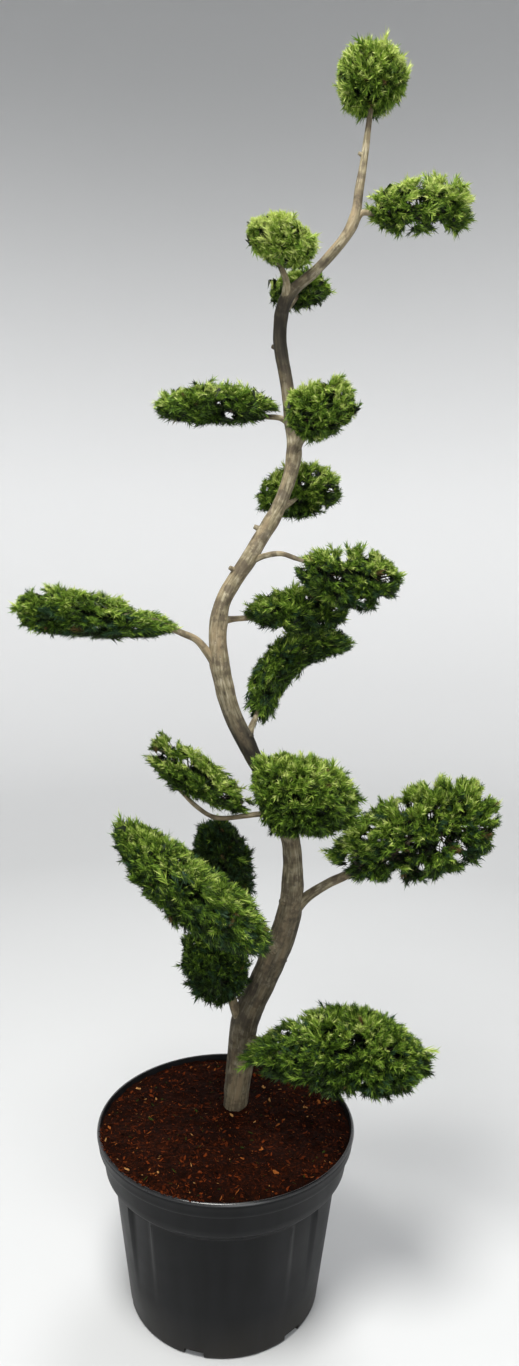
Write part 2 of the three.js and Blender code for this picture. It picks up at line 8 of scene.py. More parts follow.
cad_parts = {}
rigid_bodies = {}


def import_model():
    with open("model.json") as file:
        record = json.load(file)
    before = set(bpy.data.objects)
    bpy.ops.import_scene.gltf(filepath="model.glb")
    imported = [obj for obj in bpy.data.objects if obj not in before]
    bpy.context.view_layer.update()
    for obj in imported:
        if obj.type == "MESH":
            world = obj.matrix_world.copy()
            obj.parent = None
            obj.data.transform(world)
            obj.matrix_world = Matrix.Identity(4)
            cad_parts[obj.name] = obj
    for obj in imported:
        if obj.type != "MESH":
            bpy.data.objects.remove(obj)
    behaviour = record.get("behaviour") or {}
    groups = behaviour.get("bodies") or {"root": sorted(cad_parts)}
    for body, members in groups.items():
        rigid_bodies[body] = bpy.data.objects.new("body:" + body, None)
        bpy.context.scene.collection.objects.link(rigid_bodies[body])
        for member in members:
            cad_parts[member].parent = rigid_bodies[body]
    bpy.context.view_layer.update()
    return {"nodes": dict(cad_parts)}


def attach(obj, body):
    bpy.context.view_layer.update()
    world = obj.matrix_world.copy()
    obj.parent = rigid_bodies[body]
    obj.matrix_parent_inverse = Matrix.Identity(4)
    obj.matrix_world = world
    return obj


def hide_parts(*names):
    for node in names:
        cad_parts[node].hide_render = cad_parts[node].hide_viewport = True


# A cloud-pruned conifer in a black nursery pot. Tables are in millimetres, meshes in metres:
# +Z up, +X to the right of the front view, -Y towards the viewer, origin under the pot.

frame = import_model()
scene = bpy.context.scene
mm = 0.001
print("frame loaded:", len(frame["nodes"]), "nodes")


# ---- camera, light and floor

cameraSet = {
    "place": (0.0527, -1.665, 1.3784),
    "pitchDown": 5.217,
    "roll": 0.910,
    "lens": 23.02,
}
camera = bpy.data.objects.new("camera", bpy.data.cameras.new("camera"))
camera.data.lens = cameraSet["lens"]
camera.data.clip_end = 50
tilt = Matrix.Rotation(math.radians(90 - cameraSet["pitchDown"]), 4, "X")
turn = Matrix.Rotation(math.radians(cameraSet["roll"]), 4, "Z")
camera.matrix_world = Matrix.Translation(cameraSet["place"]) @ tilt @ turn
scene.collection.objects.link(camera)
scene.camera = camera


def toLinear(hexColour):
    values = [int(hexColour[i:i + 2], 16) / 255 for i in (1, 3, 5)]
    return [v / 12.92 if v <= 0.04045 else ((v + 0.055) / 1.055) ** 2.4 for v in values] + [1.0]


# One node with its settings; feeds are values, sockets, or nodes whose first output is meant
def addNode(tree, kind, feeds=None, **settings):
    node = tree.nodes.new(kind)
    for name, value in settings.items():
        setattr(node, name, value)
    for socket, feed in (feeds or {}).items():
        feed = feed.outputs[0] if isinstance(feed, bpy.types.Node) else feed
        if isinstance(feed, bpy.types.NodeSocket):
            tree.links.new(feed, node.inputs[socket])
        else:
            node.inputs[socket].default_value = feed
    return node


def setRamp(node, stops):
    ramp = node.color_ramp
    while len(ramp.elements) < len(stops):
        ramp.elements.new(0.5)
    for element, (place, colour) in zip(ramp.elements, stops):
        element.position = place
        element.color = toLinear(colour) if isinstance(colour, str) else (colour,) * 3 + (1.0,)


def newMaterial(name, roughness, ior=1.5, specular=0.5):
    material = bpy.data.materials.new(name)
    material.use_nodes = True
    shader = material.node_tree.nodes["Principled BSDF"]
    for label, value in (("Roughness", roughness), ("IOR", ior), ("Specular IOR Level", specular)):
        shader.inputs[label].default_value = value
    return material, material.node_tree, shader


# Feeds a shader with a pattern's colour, and with its height as bump, in metres
def feedShader(tree, shader, colour, height, strength, distance):
    bump = addNode(tree, "ShaderNodeBump", {"Strength": strength, "Distance": distance, "Height": height})
    tree.links.new(colour, shader.inputs["Base Color"])
    tree.links.new(bump.outputs[0], shader.inputs["Normal"])


studio = {
    "lights": [
        # a wide soft box overhead, a weaker one in front, and one behind for the far side
        {"place": (-0.5, -1.5, 4.6), "aim": (0.05, 0.0, 1.2), "size": 1.7, "power": 215, "colour": "#fffefa"},
        {"place": (0.9, -3.6, 2.0), "aim": (0.05, 0.0, 1.2), "size": 2.4, "power": 48, "colour": "#fbfdff"},
        {"place": (0.6, 2.6, 4.2), "aim": (0.05, 0.0, 1.2), "size": 2.0, "power": 70, "colour": "#ffffff"},
    ],
    "sky": "#e6e8ea",
    "skyStrength": 0.17,
    "wallGlow": (0.40, 0.03), "glowHeights": (1.5, 6.8),  # the wall glows with painted light, brightest low down
    "floorRadius": 5.0,
    "wallRadius": 7.5,
    "wallHeight": 8.0,
    "floorColour": "#d1d2d3",
}
for i, light in enumerate(studio["lights"]):
    data = bpy.data.lights.new("softbox" + str(i), "AREA")
    data.shape = "DISK"
    data.size = light["size"]
    data.energy = light["power"]
    data.color = toLinear(light["colour"])[:3]
    lamp = bpy.data.objects.new("softbox" + str(i), data)
    lamp.location = light["place"]
    away = Vector(light["place"]) - Vector(light["aim"])
    lamp.rotation_euler = away.to_track_quat("Z", "Y").to_euler()
    scene.collection.objects.link(lamp)
world = bpy.data.worlds.new("studio")
world.use_nodes = True
world.node_tree.nodes["Background"].inputs["Color"].default_value = toLinear(studio["sky"])
world.node_tree.nodes["Background"].inputs["Strength"].default_value = studio["skyStrength"]
scene.world = world
scene.view_settings.view_transform = "Standard"


def newPiece(name, points, faces, materials):
    mesh = bpy.data.meshes.new(name)
    mesh.from_pydata([tuple(p) for p in points], [], [tuple(f) for f in faces])
    for material in materials:
        mesh.materials.append(material)
    mesh.polygons.foreach_set("use_smooth", [True] * len(mesh.polygons))
    mesh.update()
    piece = bpy.data.objects.new(name, mesh)
    scene.collection.objects.link(piece)
    return piece


# Quads between the rows of a grid that closes on itself sideways
def ringFaces(rows, columns, first=0):
    i, j = np.meshgrid(np.arange(rows - 1), np.arange(columns), indexing="ij")
    k = (j + 1) % columns
    corners = [i * columns + j, i * columns + k, (i + 1) * columns + k, (i + 1) * columns + j]
    return (np.stack(corners, -1).reshape(-1, 4) + first).tolist()


# A profile of (radius, height) rows turned round +Z, from the axis to the axis
def turnedPiece(name, rows, columns, materials):
    points = [(0.0, 0.0, rows[0][0][1])]
    for row in rows:
        points.extend((r * math.sin(a), -r * math.cos(a), z) for (r, z), a in zip(row, columns))
    points.append((0.0, 0.0, rows[-1][0][1]))
    count = len(columns)
    faces = [(0, 1 + (j + 1) % count, 1 + j) for j in range(count)]
    faces += ringFaces(len(rows), count, 1)
    last = len(points) - 1
    first = last - count
    faces += [(last, first + j, first + (j + 1) % count) for j in range(count)]
    return newPiece(name, points, faces, materials)


# Painted studio floor that sweeps up into a plain wall all round, well behind every view. The wall glows with
# painted light, brightest low down.
floorPaint, floorTree, floorShader = newMaterial("mattPaintedStudioFloor", 0.7)
floorShader.inputs["Base Color"].default_value = toLinear(studio["floorColour"])
floorPlace = addNode(floorTree, "ShaderNodeTexCoord").outputs["Object"]
floorAway = addNode(floorTree, "ShaderNodeVectorMath", {
    0: floorPlace, 1: (1.0, 1.0, 0.0)
}, operation="MULTIPLY")
floorReach = addNode(floorTree, "ShaderNodeVectorMath", {0: floorAway}, operation="LENGTH")
onWall = addNode(floorTree, "ShaderNodeMapRange", {
    "Value": floorReach.outputs["Value"], "From Min": 3.0, "From Max": studio["wallRadius"]
})
wallHeight = addNode(floorTree, "ShaderNodeSeparateXYZ", {"Vector": floorPlace}).outputs["Z"]
paintedWallGlowByHeight = addNode(floorTree, "ShaderNodeMapRange", {
    "Value": wallHeight, "From Min": studio["glowHeights"][0], "From Max": studio["glowHeights"][1],
    "To Min": studio["wallGlow"][0], "To Max": studio["wallGlow"][1]
}, interpolation_type="SMOOTHSTEP")
# painted light: the far floor and the wall emit a glow, strongest low on the wall and fading upwards
glow = addNode(floorTree, "ShaderNodeMath", {0: paintedWallGlowByHeight, 1: onWall}, operation="MULTIPLY")
floorShader.inputs["Emission Color"].default_value = (1.0, 1.0, 1.0, 1.0)
floorTree.links.new(glow.outputs[0], floorShader.inputs["Emission Strength"])
sweep = studio["wallRadius"] - studio["floorRadius"]
floorRows = [(1.0, 0.0), (studio["floorRadius"], 0.0)]
for step in range(1, 13):
    bend = math.radians(90 * step / 12)
    floorRows.append((studio["floorRadius"] + sweep * math.sin(bend), sweep * (1 - math.cos(bend))))
floorRows.append((studio["wallRadius"], studio["wallHeight"]))
floorColumns = [2 * math.pi * j / 96 for j in range(96)]
floorPoints = [(0.0, 0.0, 0.0)]
for r, z in floorRows:
    floorPoints.extend((r * math.cos(a), r * math.sin(a), z) for a in floorColumns)
floorFaces = [(0, 1 + j, 1 + (j + 1) % 96) for j in range(96)]
floorFaces += [face[::-1] for face in ringFaces(len(floorRows), 96, 1)]
studioFloor = newPiece("studioFloor", floorPoints, floorFaces, [floorPaint])
print("camera, lights and floor ready")


# ---- pot

pot = {
    "height": 350, "rimRadius": 255, "bandHeight": 26, "wall": 3, "floor": 3,
    "footRadius": 187.5,
    "wallHeights": (0, 260, 276, 324), "wallRadii": (187.5, 221.3, 238, 247),  # wall, step and collar
    "footRingWidth": 22, "footRingHeight": 14, "footChamfer": 4,
    "notchCount": 6, "notchFirst": -15, "notchHalfAngle": 5.816, "notchHeight": 12, "notchFrom": 169.5,
    "fluteAngles": (-45, 45, 135, 225), "fluteHalfWidth": 8.7, "fluteHalfFloor": 7.2,
    "fluteBottom": 70, "fluteTop": 253, "fluteDepth": 7, "fluteEnd": 258.6,
    "columns": 240,
}
potLook = {
    "colour": "#0c0d0e", "faded": "#141517", "dust": "#4d4840",
    "roughness": 0.42, "roughnessSpread": 0.10, "specular": 0.15,
    "lipRoughness": 0.24, "lipSpecular": 0.70,
    "grain": 1.2,  # mm, the mould's fine texture, drawn coarser than the real 0.3 mm so that it shows
    "dustShare": 0.35,
}


def wallRadius(z):
    return float(np.interp(z, pot["wallHeights"], pot["wallRadii"]))


# The inner side of the wall, whose step lies a wall's thickness higher
def innerRadius(z):
    heights = [h + (pot["wall"] if 0 < k < 3 else 0) for k, h in enumerate(pot["wallHeights"])]
    return float(np.interp(z, heights, pot["wallRadii"])) - pot["wall"]


def apart(angle, middle):
    return abs((angle - middle + 540) % 360 - 180)


def ease(low, high, value):
    share = min(1.0, max(0.0, (value - low) / (high - low)))
    return share * share * (3 - 2 * share)


# How far the wall sinks in at an angle and a height: deepest under the ledge, fading downwards
def fluteSink(angle, z):
    near = min(apart(angle, middle) for middle in pot["fluteAngles"])
    across = 1 - ease(pot["fluteHalfFloor"] - 0.4, pot["fluteHalfWidth"], near)
    if z <= pot["fluteTop"]:
        down = max(0.0, (z - pot["fluteBottom"]) / (pot["fluteTop"] - pot["fluteBottom"]))
    else:
        down = max(0.0, 1 - (z - pot["fluteTop"]) / (pot["fluteEnd"] - pot["fluteTop"]))
    return pot["fluteDepth"] * across * down


def potColumns():
    angles = {360 * j / pot["columns"] for j in range(pot["columns"])}
    for k in range(pot["notchCount"]):
        middle = pot["notchFirst"] + 360 * k / pot["notchCount"]
        for side in (-1, 1):
            edge = middle + side * pot["notchHalfAngle"]
            angles = {a for a in angles if apart(a, edge) > 0.4}
            angles |= {(edge - 0.03) % 360, (edge + 0.03) % 360}
    return sorted(angles)


def makePot(materials):
    columns = potColumns()
    band = pot["height"] - pot["bandHeight"]
    rim = pot["rimRadius"]
    inner = pot["footRadius"] - pot["footRingWidth"]
    top = pot["height"]
    outside = [(20, 0), (90, 0), (inner, 0), (pot["notchFrom"], 0), (pot["notchFrom"] + 0.1, 0)]
    outside += [(pot["footRadius"] - pot["footChamfer"], 0), (wallRadius(1.2) - 1.2, 1.2)]
    outside += [(wallRadius(pot["footChamfer"]), pot["footChamfer"]), (wallRadius(9), 9)]
    outside += [(wallRadius(12), 12), (wallRadius(12.1), 12.1)]
    outside += [(wallRadius(z), z) for z in (*range(22, 246, 14), 251.5, 253, 254.5, 256, 258.6)]
    low, high = pot["wallRadii"][1:3]
    foot, head = pot["wallHeights"][1:3]
    outside += [(low + 0.5, foot), (low + 2.6, foot + 1.6), (high - 4.4, head - 4.6)]
    outside += [(high - 1.2, head - 0.8), (high + 0.6, head + 2.4), (wallRadius(290), 290)]
    outside += [(wallRadius(z) - 0.3, z) for z in (305, 316, band - 3)]
    outside += [(wallRadius(band - 2) + 0.5, band - 1.8), (wallRadius(band) + 1.8, band - 2.4)]
    outside += [(wallRadius(band) + 3.6, band - 1.8), (wallRadius(band) + 4.6, band)]
    outside += [(wallRadius(band) + 5, band + 4)]
    outside += [(rim - 1.6, top - 13), (rim - 0.5, top - 9.5), (rim, top - 6.8), (rim - 0.2, top - 4.6)]
    outside += [(rim - 0.9, top - 2.7), (rim - 2.0, top - 1.2), (rim - 3.3, top - 0.3), (rim - 4.4, top)]
    inside = [(rim - 5.4, top - 0.4), (rim - 6.0, top - 1.6), (rim - 6.4, top - 3.2), (rim - 7.4, top - 8)]
    inside += [(innerRadius(z), z) for z in (band, 300, 279, 263, 256, 253)]
    inside += [(innerRadius(z), z) for z in range(240, 20, -26)]
    ring = pot["footRingHeight"]
    inside += [(innerRadius(ring), ring), (inner, ring), (inner, pot["floor"]), (20, pot["floor"])]
    rows = []
    for r, z in outside + inside:
        row = []
        for angle in columns:
            middles = [pot["notchFirst"] + 360 * k / pot["notchCount"] for k in range(pot["notchCount"])]
            notched = any(apart(angle, m) < pot["notchHalfAngle"] for m in middles)
            lifted = notched and r > pot["notchFrom"] + 0.05 and z < pot["notchHeight"] and (r, z) in outside
            height = pot["notchHeight"] if lifted else z
            reach = r - fluteSink(angle, z) if 20 < z < pot["fluteEnd"] else r
            row.append((reach * mm, height * mm))
        rows.append(row)
    piece = turnedPiece("potShell", rows, [math.radians(a) for a in columns], materials)
    piece.data.set_sharp_from_angle(angle=math.radians(38))
    for face in piece.data.polygons:
        onLip = face.center.z > (top - 8) * mm and face.center.xy.length > (rim - 6) * mm
        face.material_index = int(onLip and face.normal.z > 0.2)
    return piece


# Injection-moulded black polypropylene: satin, slightly mottled where it is scuffed, with a thin film of dry
# soil along the foot. The lip is rubbed to a brighter gloss.
def makePotMaterial(name, roughness, specular):
    material, tree, shader = newMaterial(name, roughness, 1.49, specular)
    place = addNode(tree, "ShaderNodeTexCoord").outputs["Object"]
    blotch = addNode(tree, "ShaderNodeTexNoise", {
        "Vector": place, "Scale": 9.0, "Detail": 6.0, "Roughness": 0.6
    })
    streakPlace = addNode(tree, "ShaderNodeMapping", {"Vector": place, "Scale": (34.0, 34.0, 2.2)})
    streak = addNode(tree, "ShaderNodeTexNoise", {"Vector": streakPlace, "Scale": 1.0, "Detail": 4.0})
    height = addNode(tree, "ShaderNodeSeparateXYZ", {"Vector": place}).outputs["Z"]
    overlayShare = addNode(tree, "ShaderNodeMapRange", {
        "Value": height, "From Min": 0.09, "From Max": 0.0, "To Min": 0.0, "To Max": potLook["dustShare"]
    })
    film = addNode(tree, "ShaderNodeMath", {0: overlayShare, 1: blotch}, operation="MULTIPLY")
    fading = addNode(tree, "ShaderNodeValToRGB", {"Fac": streak})
    setRamp(fading, [(0.38, potLook["colour"]), (0.75, potLook["faded"])])
    soil = addNode(tree, "ShaderNodeMix", {
        0: film, 6: fading, 7: toLinear(potLook["dust"])
    }, data_type="RGBA")
    rough = addNode(tree, "ShaderNodeMapRange", {
        "Value": blotch, "From Min": 0.3, "From Max": 0.7,
        "To Min": roughness - potLook["roughnessSpread"] / 2,
        "To Max": roughness + potLook["roughnessSpread"]
    })
    tree.links.new(rough.outputs[0], shader.inputs["Roughness"])
    grain = addNode(tree, "ShaderNodeTexNoise", {
        "Vector": place, "Scale": 1000 / potLook["grain"], "Detail": 2.0
    })
    feedShader(tree, shader, soil.outputs[2], grain, 0.12, 0.0004)
    return material


potPlastic = makePotMaterial("mouldedPolypropylene", potLook["roughness"], potLook["specular"])
potLip = makePotMaterial("rubbedPolypropyleneLip", potLook["lipRoughness"], potLook["lipSpecular"])
potShell = makePot([potPlastic, potLip])
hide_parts("pot")
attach(potShell, "root")
print("pot made")


# ---- trunk and boughs

# The trunk's bends: x, y, z and diameter, from the root flare to the tip
trunkStations = [
    (14, 61, 318, 49), (18, 59, 360, 50.5), (24, 56, 430, 54.5), (34, 52, 525, 54.5), (71, 45, 620, 54),
    (109, 38, 720, 52), (124, 28, 812, 43.5), (120, 19, 905, 37), (89, 6, 1002, 34), (39, -6, 1092, 31),
    (-2, -17, 1178, 35), (-25, -27, 1290, 36), (-21, -27, 1372, 30), (30, -20, 1463, 29),
    (89, -2, 1572, 26), (110, 10, 1655, 27), (97, 19, 1780, 24.8), (80, 12, 1872, 25),
    (91, 3, 1938, 22.5), (148, -6, 1990, 18.5), (206, -14, 2060, 18.5), (221, -12, 2140, 15.5),
    (235, 0, 2252, 10.5),
]
# Cut stubs of pruned shoots: height, turn from the front, width, length
stubs = [(652, 75, 14, 8), (782, -45, 16, 6), (1434, -65, 11, 8), (1512, -90, 11, 9), (2185, -85, 7, 6),
         (1120, 60, 12, 5), (1700, 30, 9, 6), (1850, -110, 9, 6), (2020, 40, 7, 5), (560, -120, 15, 6)]
# Boughs: height where each leaves the trunk, the points it passes with its tip last, its two girths.
# Pads: bent spine, half heights and half depths at its start, middle and end. Looks: leaf is the
# pad's place from deep green 0 to lime 1, gaps the share that is open, lean how far the openings lean
# right and up for each millimetre back, along the photo's line of sight, ragged how rough it is
# clipped, heart where along the spine the stem runs in, or its middle.
branches = {
    "high_right": {
        "bough": (2062, [(224, -14, 2084), (238, -8, 2087)], 13, 9),
        "pad": ([(230, -5, 2088), (328, 5, 2106), (438, 15, 2102)], (30, 49, 38), (32, 55, 48)),
        "leaf": 0.62, "gaps": 0.10, "lean": (0.17, 0.44), "ragged": 1.0, "slot": "mid"},
    "high_left": {
        "bough": (1934, [(90, -14, 1962), (78, -32, 1984)], 15, 10),
        "pad": ([(14, -55, 2036), (80, -50, 2019), (144, -38, 2003)], (25, 42, 30), (40, 52, 40)),
        "leaf": 0.80, "ragged": 0.6, "slot": "lime"},
    "high_back": {
        "bough": (1902, [(92, 26, 1925), (106, 44, 1948)], 14, 9),
        "pad": ([(57, 68, 1961), (118, 75, 1981), (183, 70, 1974)], (25, 35, 18), (30, 42, 28)),
        "leaf": 0.50, "ragged": 0.9, "slot": "deep"},
    "upper_left": {
        "bough": (1716, [(84, 22, 1727), (58, 27, 1730)], 13, 9),
        "pad": ([(-154, 40, 1746), (-39, 32, 1752), (78, 24, 1741)], (26, 37, 22), (34, 46, 30)),
        "leaf": 0.48, "gaps": 0.05, "lean": (-0.05, 0.22), "ragged": 1.0, "slot": "deep"},
    "upper_front": {
        "bough": (1648, [(120, -8, 1676), (137, -30, 1696)], 17, 12),
        "pad": ([(92, -72, 1708), (148, -78, 1722), (220, -78, 1746)], (54, 50, 58), (50, 56, 52)),
        "leaf": 0.56, "gaps": 0.02, "lean": (0.06, 0.22), "ragged": 0.7, "slot": "lime"},
    "mid_back": {
        "bough": (1522, [(80, 18, 1548), (108, 46, 1574)], 16, 11),
        "pad": ([(44, 88, 1579), (126, 90, 1600), (211, 85, 1600)], (38, 54, 42), (44, 55, 45)),
        "leaf": 0.48, "gaps": 0.04, "lean": (0.04, 0.12), "ragged": 0.8, "slot": "deep"},
    "mid_right": {
        "bough": (1452, [(58, -26, 1466), (88, -38, 1470), (114, -46, 1462)], 12, 9),
        "pad": ([(106, -48, 1454), (223, -62, 1427), (309, -70, 1431)], (26, 58, 35), (30, 60, 50)),
        "leaf": 0.44, "gaps": 0.12, "lean": (0.11, 0.03), "ragged": 1.0, "slot": "deep"},
    "mid_centre": {
        "bough": (1344, [(2, -8, 1348), (28, 12, 1350)], 14, 10),
        "pad": ([(20, 15, 1362), (125, 28, 1367), (228, 35, 1371)], (26, 45, 40), (36, 52, 44)),
        "leaf": 0.42, "gaps": 0.03, "lean": (0.04, -0.01), "ragged": 0.9, "slot": "deep"},
    "mid_low": {
        "bough": (1106, [(37, 6, 1136), (48, 24, 1160)], 15, 11),
        "pad": ([(47, 34, 1143), (110, 72, 1276), (237, 86, 1299)], (40, 41, 36), (40, 50, 40)),
        "leaf": 0.36, "ragged": 0.7, "slot": "deep"},
    "long_left": {
        "bough": (1252, [(-46, -34, 1286), (-66, -42, 1309), (-94, -50, 1322)], 20, 12),
        "pad": ([(-388, -85, 1356), (-286, -72, 1355), (-84, -50, 1325)], (40, 45, 24), (44, 56, 28)),
        "leaf": 0.43, "gaps": 0.05, "lean": (-0.21, -0.01), "ragged": 0.9, "slot": "deep"},
    "low_left": {
        "bough": (974, [(54, 20, 966), (-31, 32, 955), (-70, 40, 976), (-98, 46, 1002)], 13, 8),
        "pad": ([(-168, 60, 1104), (-63, 45, 1032), (46, 25, 976)], (50, 40, 28), (44, 46, 34)),
        "leaf": 0.50, "gaps": 0.12, "lean": (-0.07, -0.20), "ragged": 1.0, "slot": "deep", "heart": 0.25},
    "centre_front": {
        "bough": (915, [(120, -6, 935), (122, -36, 952)], 19, 13),
        "pad": ([(54, -92, 1029), (119, -105, 1034), (243, -110, 1004)], (84, 78, 66), (68, 78, 66)),
        "leaf": 0.47, "ragged": 0.6, "slot": "mid"},
    "big_right": {
        "bough": (745, [(150, 28, 794), (190, 14, 828), (230, 0, 853)], 26, 17),
        "pad": ([(186, -5, 884), (376, -15, 944), (506, -35, 1020)], (56, 92, 84), (66, 92, 80)),
        "leaf": 0.43, "gaps": 0.16, "lean": (0.20, -0.26), "ragged": 0.7, "slot": "deep"},
    "low_back": {
        "bough": (655, [(56, 66, 690), (26, 90, 742)], 20, 14),
        "pad": ([(-32, 118, 930), (-21, 118, 826), (-5, 112, 708)], (58, 69, 54), (50, 62, 52)),
        "leaf": 0.06, "ragged": 0.7, "slot": "dark"},
    "low_front": {
        "bough": (678, [(84, 8, 700), (66, -26, 722)], 20, 15),
        "pad": ([(-198, -132, 980), (-91, -112, 871), (78, -84, 744)], (34, 55, 66), (44, 70, 64)),
        "leaf": 0.41, "ragged": 0.7, "slot": "mid"},
    "low_under": {
        "bough": (515, [(14, 40, 556), (6, 30, 588)], 25, 18),
        "pad": ([(-66, 34, 736), (-22, 22, 655), (14, 20, 590)], (62, 68, 42), (52, 58, 42)),
        "leaf": 0.24, "ragged": 0.7, "slot": "dark"},
    "foot_right": {
        "bough": (488, [(58, 20, 500), (84, -16, 508)], 24, 17),
        "pad": ([(50, -38, 502), (230, -78, 537), (382, -100, 515)], (54, 75, 67), (66, 96, 80)),
        "leaf": 0.35, "gaps": 0.03, "lean": (0.11, -0.53), "ragged": 0.7, "slot": "mid"},
    "top": {
        "bough": None,
        "pad": ([(173, 0, 2318), (240, 0, 2321), (304, 0, 2314)], (62, 56, 47), (62, 68, 60)),
        "leaf": 0.68, "ragged": 0.5, "slot": "lime"},
}


# A smooth curve through points, with its knots spaced by the square root of the distance between
# them; it gives points evenly spaced along the curve and the station, 0 to 1, of each
def smoothCurve(points, count):
    p = np.array(points, float)
    p = np.vstack([2 * p[0] - p[1], p, 2 * p[-1] - p[-2]])
    places, stations = [], []
    for i in range(1, len(p) - 2):
        gaps = [math.sqrt(np.linalg.norm(p[i + k] - p[i + k - 1])) for k in range(3)]
        for share in np.linspace(0, 1, 60, endpoint=i == len(p) - 3):
            d0, d1, d2 = gaps
            t1 = ((p[i] - p[i - 1]) / d0 - (p[i + 1] - p[i - 1]) / (d0 + d1) + (p[i + 1] - p[i]) / d1) * d1
            t2 = ((p[i + 1] - p[i]) / d1 - (p[i + 2] - p[i]) / (d1 + d2) + (p[i + 2] - p[i + 1]) / d2) * d1
            a = 2 * p[i] - 2 * p[i + 1] + t1 + t2
            b = -3 * p[i] + 3 * p[i + 1] - 2 * t1 - t2
            places.append(((a * share + b) * share + t1) * share + p[i])
            stations.append((i - 1 + share) / (len(p) - 3))
    places = np.array(places)
    run = np.concatenate([[0], np.cumsum(np.linalg.norm(np.diff(places, axis=0), axis=1))])
    wanted = np.linspace(0, run[-1], count)
    even = np.stack([np.interp(wanted, run, places[:, k]) for k in range(3)], 1)
    return even, np.interp(wanted, run, stations), wanted


def directionsAlong(line):
    way = np.gradient(line, axis=0)
    return way / np.linalg.norm(way, axis=1, keepdims=True)


# Two directions across a line at each of its points, carried along it without twisting
def acrossLine(line):
    ways = directionsAlong(line)
    side = np.cross(ways[0], (0.0, 0.0, 1.0) if abs(ways[0][2]) < 0.9 else (0.0, 1.0, 0.0))
    sides = []
    for way in ways:
        side = side - way * (side @ way)
        side = side / np.linalg.norm(side)
        sides.append(side)
    sides = np.array(sides)
    return sides, np.cross(ways, sides)


def trunkPoint(z):
    return np.array([np.interp(z, trunkLine[:, 2], trunkLine[:, k]) for k in range(3)])


def stationValue(stations, values):
    return np.interp(np.array(stations) * (len(values) - 1), np.arange(len(values)), values)


limbSet = {
    "trunkRings": 760, "trunkSides": 56, "boughSides": 26, "ringGap": 3.0, "stubSides": 12,
    "fissure": 0.8,  # mm, how deep the bark's fissures are at the foot
    "fissureWidth": 7.0, "fissureLength": 46.0,
    "lump": 1.6, "lumpSize": 42.0,
    "collar": 3.2, "collarReach": 26.0, "collarSearch": 150.0,
    "soilLine": 331,  # mm, where the trunk's skin begins, under the compost's surface
}
trunkLine, trunkStation, trunkRun = smoothCurve([s[:3] for s in trunkStations], limbSet["trunkRings"])
trunkGirth = stationValue(trunkStation, [s[3] for s in trunkStations])


# Bark relief at a place on a limb: long shallow fissures and broad lumps, in millimetres
def barkRelief(around, along, girth, seed):
    strength = min(1.0, 0.30 + girth / 60)
    cell = limbSet["fissureWidth"]
    spot = Vector((around[0] / cell, around[1] / cell, along / limbSet["fissureLength"] + seed))
    ridge = 1 - abs(noise.noise(spot) * 2.2)
    fine = noise.noise(Vector((around[0] / 2.6, around[1] / 2.6, along / 16 + seed)))
    broad = noise.noise(Vector((around[0] / 30, around[1] / 30, along / limbSet["lumpSize"] + 3 * seed)))
    deep = limbSet["fissure"] * (min(ridge, 0.85) - 0.6) + 0.32 * fine
    return strength * deep + limbSet["lump"] * strength * broad


# How far a trunk swells at a spot into the collars under its boughs
def collarSwell(collars, centre, out, radius):
    extra = 0.0
    for line, girths, run in collars:
        spot = centre + radius * out
        root = line[np.searchsorted(run, 0.8 * radius) % len(line)]
        far = np.linalg.norm(spot - root) / limbSet["collarReach"]
        if far < 2.5:
            extra += limbSet["collar"] * math.exp(-far * far * 2) * girths[0] / 20
    return extra


# A limb's skin: its rings of points, and at each point where it lies in the bark's own grain. It
# swells into a collar under each of the boughs given.
def limbSkin(line, girths, run, sides, seed, boughs=()):
    side, up = acrossLine(line)
    points, grain = [], []
    for i, centre in enumerate(line):
        radius = girths[i] / 2
        collars = [b for b in boughs if np.linalg.norm(b[0][0] - centre) < limbSet["collarSearch"]]
        for j in range(sides):
            a = 2 * math.pi * j / sides
            out = math.cos(a) * side[i] + math.sin(a) * up[i]
            around = (radius * math.cos(a), radius * math.sin(a))
            reach = radius + barkRelief(around, run[i], girths[i], seed)
            reach += collarSwell(collars, centre, out, radius)
            points.append(centre + reach * out)
            grain.append((around[0] * mm, around[1] * mm, (run[i] + 500 * seed) * mm))
    return points, grain


class Skin:
    def __init__(self):
        self.points, self.faces, self.grain = [], [], []

    def add(self, points, grain, rows, sides):
        first = len(self.points)
        self.points += list(points)
        self.grain += list(grain)
        self.faces += ringFaces(rows, sides, first)
        for ring, order in ((0, -1), (rows - 1, 1)):
            start = first + ring * sides
            middle = np.mean(points[ring * sides:(ring + 1) * sides], axis=0)
            self.points.append(middle)
            self.grain.append(tuple(np.mean(grain[ring * sides:(ring + 1) * sides], axis=0)))
            for j in range(sides):
                pair = (start + j, start + (j + 1) % sides)[::order]
                self.faces.append((len(self.points) - 1, pair[0], pair[1]))

    def piece(self, name, materials):
        made = newPiece(name, [p * mm for p in self.points], self.faces, materials)
        store = made.data.attributes.new("grain", "FLOAT_VECTOR", "POINT")
        store.data.foreach_set("vector", np.array(self.grain, np.float32).ravel())
        return made


boughLines = {}
for name, branch in branches.items():
    if branch["bough"]:
        height, way, rootGirth, endGirth = branch["bough"]
        line, station, run = smoothCurve([trunkPoint(height), *way], 60)
        count = max(12, int(run[-1] / limbSet["ringGap"]))
        line, station, run = smoothCurve([trunkPoint(height), *way], count)
        stations = [rootGirth + (endGirth - rootGirth) * math.sqrt(k / len(way)) for k in range(len(way) + 1)]
        boughLines[name] = (line, stationValue(station, stations), run)


